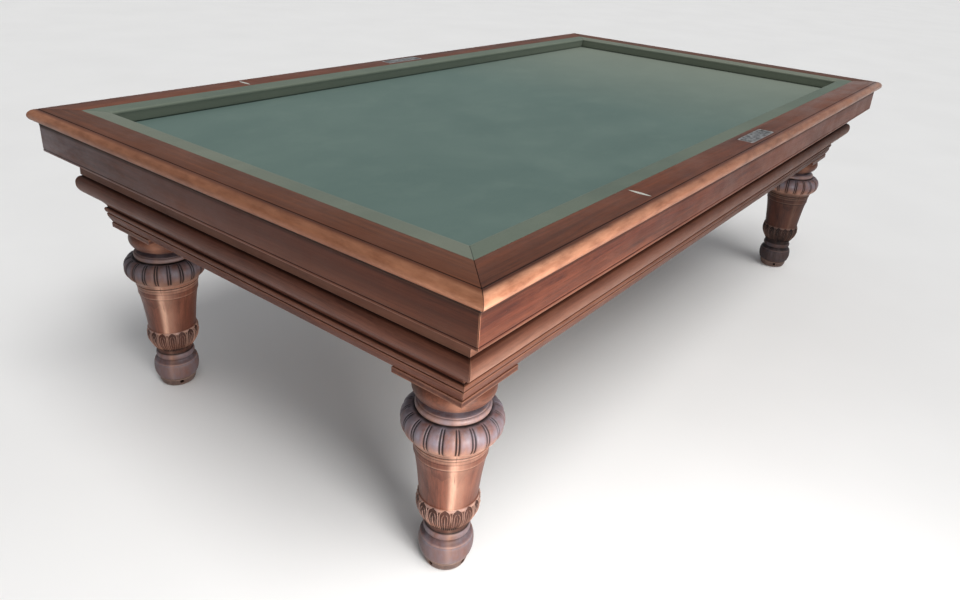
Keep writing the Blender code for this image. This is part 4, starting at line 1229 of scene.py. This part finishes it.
def plate(side, sign):
    xs = np.concatenate([[-86.0, -85.6], np.linspace(-85.2, 85.2, 214), [85.6, 86.0]])
    ys = np.concatenate([[-22.0, -21.6], np.linspace(-21.2, 21.2, 58), [21.6, 22.0]])
    X, Y = np.meshgrid(xs, ys, indexing="ij")
    # The four corners are clipped by 2 mm.
    over = np.clip(np.abs(X) + np.abs(Y) - (86.0 + 22.0 - 2.0), 0, None)
    X, Y = X - np.sign(X) * over / 2, Y - np.sign(Y) * over / 2
    h, pin = plate_relief(X, Y)
    nx, ny = X.shape
    points = [(x, y, HEIGHT - 0.05 + z) for x, y, z in zip(X.ravel(), Y.ravel(), h.ravel())]
    faces = [(a * ny + b, (a + 1) * ny + b, (a + 1) * ny + b + 1, a * ny + b + 1) for a in range(nx - 1) for b in range(ny - 1)]
    rim = [a * ny for a in range(nx - 1)] + [(nx - 1) * ny + b for b in range(ny - 1)]
    rim += [a * ny + ny - 1 for a in range(nx - 1, 0, -1)] + [b for b in range(ny - 1, 0, -1)]
    base = len(points)
    points += [(points[i][0], points[i][1], HEIGHT - 1.5) for i in rim]
    n = len(rim)
    faces += [(rim[i], base + i, base + (i + 1) % n, rim[(i + 1) % n]) for i in range(n)]
    faces.append(tuple(base + i for i in range(n)))
    flat = h.ravel()
    grime_and_shade = list(np.clip((-flat - 0.5) * 1.3, 0, 0.85)) + [0.9] * n
    wear_and_painted_light = list(np.clip(0.35 * (flat > -0.25) + 0.9 * pin.ravel(), 0, 1)) + [0.0] * n
    points = np.array(points) * MM + np.array((0.0, sign * (HALF_Y - 33.5), 0.0)) * MM
    obj = make("blank_plate_" + side, points, faces, PLATE, body=None, attributes={"grime_and_shade": grime_and_shade, "wear_and_painted_light": wear_and_painted_light}, smooth=False)
    facing_out(obj, 35.0)
    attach(obj, "table")
    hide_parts("plate_" + side)
    return obj


for side, sign in (("front", -1), ("back", 1)):
    a, b = PLATE_L / 2 + 0.3, PLATE_W / 2 + 0.3
    recess(bpy.data.objects["rail_" + side], [
        (lens_outline(57.0, 11.0), (-690.0, sign * (HALF_Y - 35.5)), 1.6),
        ([(a - 2, b), (a, b - 2), (a, 2 - b), (a - 2, -b), (2 - a, -b), (-a, 2 - b), (-a, b - 2), (2 - a, b)],
         (0.0, sign * (HALF_Y - 33.5)), 1.8),
    ])
    inlay(
        "pearl_sight_" + side, lens_outline(56.0, 10.4), HEIGHT + 0.05, 1.3, PEARL, (-690.0, sign * (HALF_Y - 35.5), 0),
        ["sight_" + side], rise=0.15,
    )
    plate(side, sign)

# ================================================================ materials on the CAD nodes that stay
def dress(node, mat):
    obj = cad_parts[node]
    obj.data.materials.clear()
    obj.data.materials.append(mat)


for name in ("slate_left", "slate_middle", "slate_right"):
    dress(name, SLATE)
for name in ("cross_beam_left", "cross_beam_middle", "cross_beam_right"):
    dress(name, BEAM_WOOD)
for corner in CORNERS:
    dress("corner_block_" + corner, BLOCK_WOOD)
    dress("threaded_bush_" + corner, BRASS)
    dress("levelling_screw_" + corner, STEEL)
    dress("glide_pad_" + corner, STEEL)

# ================================================================ camera, light, floor
def camera():
    data = bpy.data.cameras.new("camera")
    data.sensor_fit = "HORIZONTAL"
    data.sensor_width = 36.0
    data.lens = 28.62
    data.shift_x = -0.0022
    data.shift_y = -0.0551
    data.clip_start, data.clip_end = 0.05, 100.0
    obj = bpy.data.objects.new("camera", data)
    yaw, pitch, roll = (math.radians(a) for a in (36.2545, 23.4912, 3.8691))
    f = Vector((math.cos(pitch) * math.cos(yaw), math.cos(pitch) * math.sin(yaw), -math.sin(pitch)))
    r = Vector((math.sin(yaw), -math.cos(yaw), 0))
    u = r.cross(f)
    r2 = r * math.cos(roll) + u * math.sin(roll)
    u2 = u * math.cos(roll) - r * math.sin(roll)
    turn = Matrix((r2, u2, -f)).transposed().to_4x4()
    obj.matrix_world = Matrix.Translation((-2.0895, -1.2917, 1.2951)) @ turn
    bpy.context.scene.collection.objects.link(obj)
    bpy.context.scene.camera = obj


camera()


def area(name, at, to, size, power, colour=(1, 1, 1)):
    data = bpy.data.lights.new(name, "AREA")
    data.shape = "RECTANGLE"
    data.size, data.size_y = size
    data.energy = power
    data.color = colour
    obj = bpy.data.objects.new(name, data)
    at, to = Vector(at), Vector(to)
    obj.matrix_world = Matrix.Translation(at) @ (to - at).to_track_quat("-Z", "Y").to_matrix().to_4x4()
    obj.visible_camera = False
    bpy.context.scene.collection.objects.link(obj)
    return obj


def sun(name, azimuth, elevation, strength, angle, colour):
    data = bpy.data.lights.new(name, "SUN")
    data.energy, data.angle, data.color = strength, math.radians(angle), colour
    obj = bpy.data.objects.new(name, data)
    az, el = math.radians(azimuth), math.radians(elevation)
    toward = Vector((math.cos(el) * math.cos(az), math.cos(el) * math.sin(az), math.sin(el)))
    obj.matrix_world = toward.to_track_quat("Z", "Y").to_matrix().to_4x4()
    bpy.context.scene.collection.objects.link(obj)


sun("key", -104.0, 64.0, 1.95, 36.0, (1.0, 0.985, 0.96))
area("window", (-1.55, -1.8, 0.5), (-1.2, -0.7, 0.42), (0.6, 0.62), 33.0, (1.0, 0.985, 0.965))

world = bpy.data.worlds.new("world")
bpy.context.scene.world = world
world.use_nodes = True
sky = world.node_tree
background = sky.nodes["Background"]
where = sky.nodes.new("ShaderNodeTexCoord")
parts = sky.nodes.new("ShaderNodeSeparateXYZ")
blend = sky.nodes.new("ShaderNodeMapRange")
sky.links.new(where.outputs["Generated"], parts.inputs[0])
sky.links.new(parts.outputs[2], blend.inputs["Value"])
for key, value in (("From Min", 0.0), ("From Max", 0.7), ("To Min", 0.3), ("To Max", 0.38)):
    blend.inputs[key].default_value = value
sky.links.new(blend.outputs[0], background.inputs[1])
background.inputs[0].default_value = (0.95, 0.97, 1.0, 1.0)


def floor():
    bm = bmesh.new()
    bmesh.ops.create_grid(bm, x_segments=2, y_segments=2, size=30.0)
    mesh = bpy.data.meshes.new("floor")
    bm.to_mesh(mesh)
    bm.free()
    obj = bpy.data.objects.new("floor", mesh)
    bpy.context.scene.collection.objects.link(obj)
    t = Tree("floor")
    v = t.coords()
    tone = t.noise(v, 1.5, 3.0, 0.5)
    t.set(Base_Color=t.mix(t.remap(tone, 0.3, 0.7), (0.84, 0.84, 0.84), (0.87, 0.87, 0.87)), Roughness=0.85)
    mesh.materials.append(t.mat)
    obj.location = (0, 0, 0)


floor()
bpy.context.scene.view_settings.view_transform = "Standard"
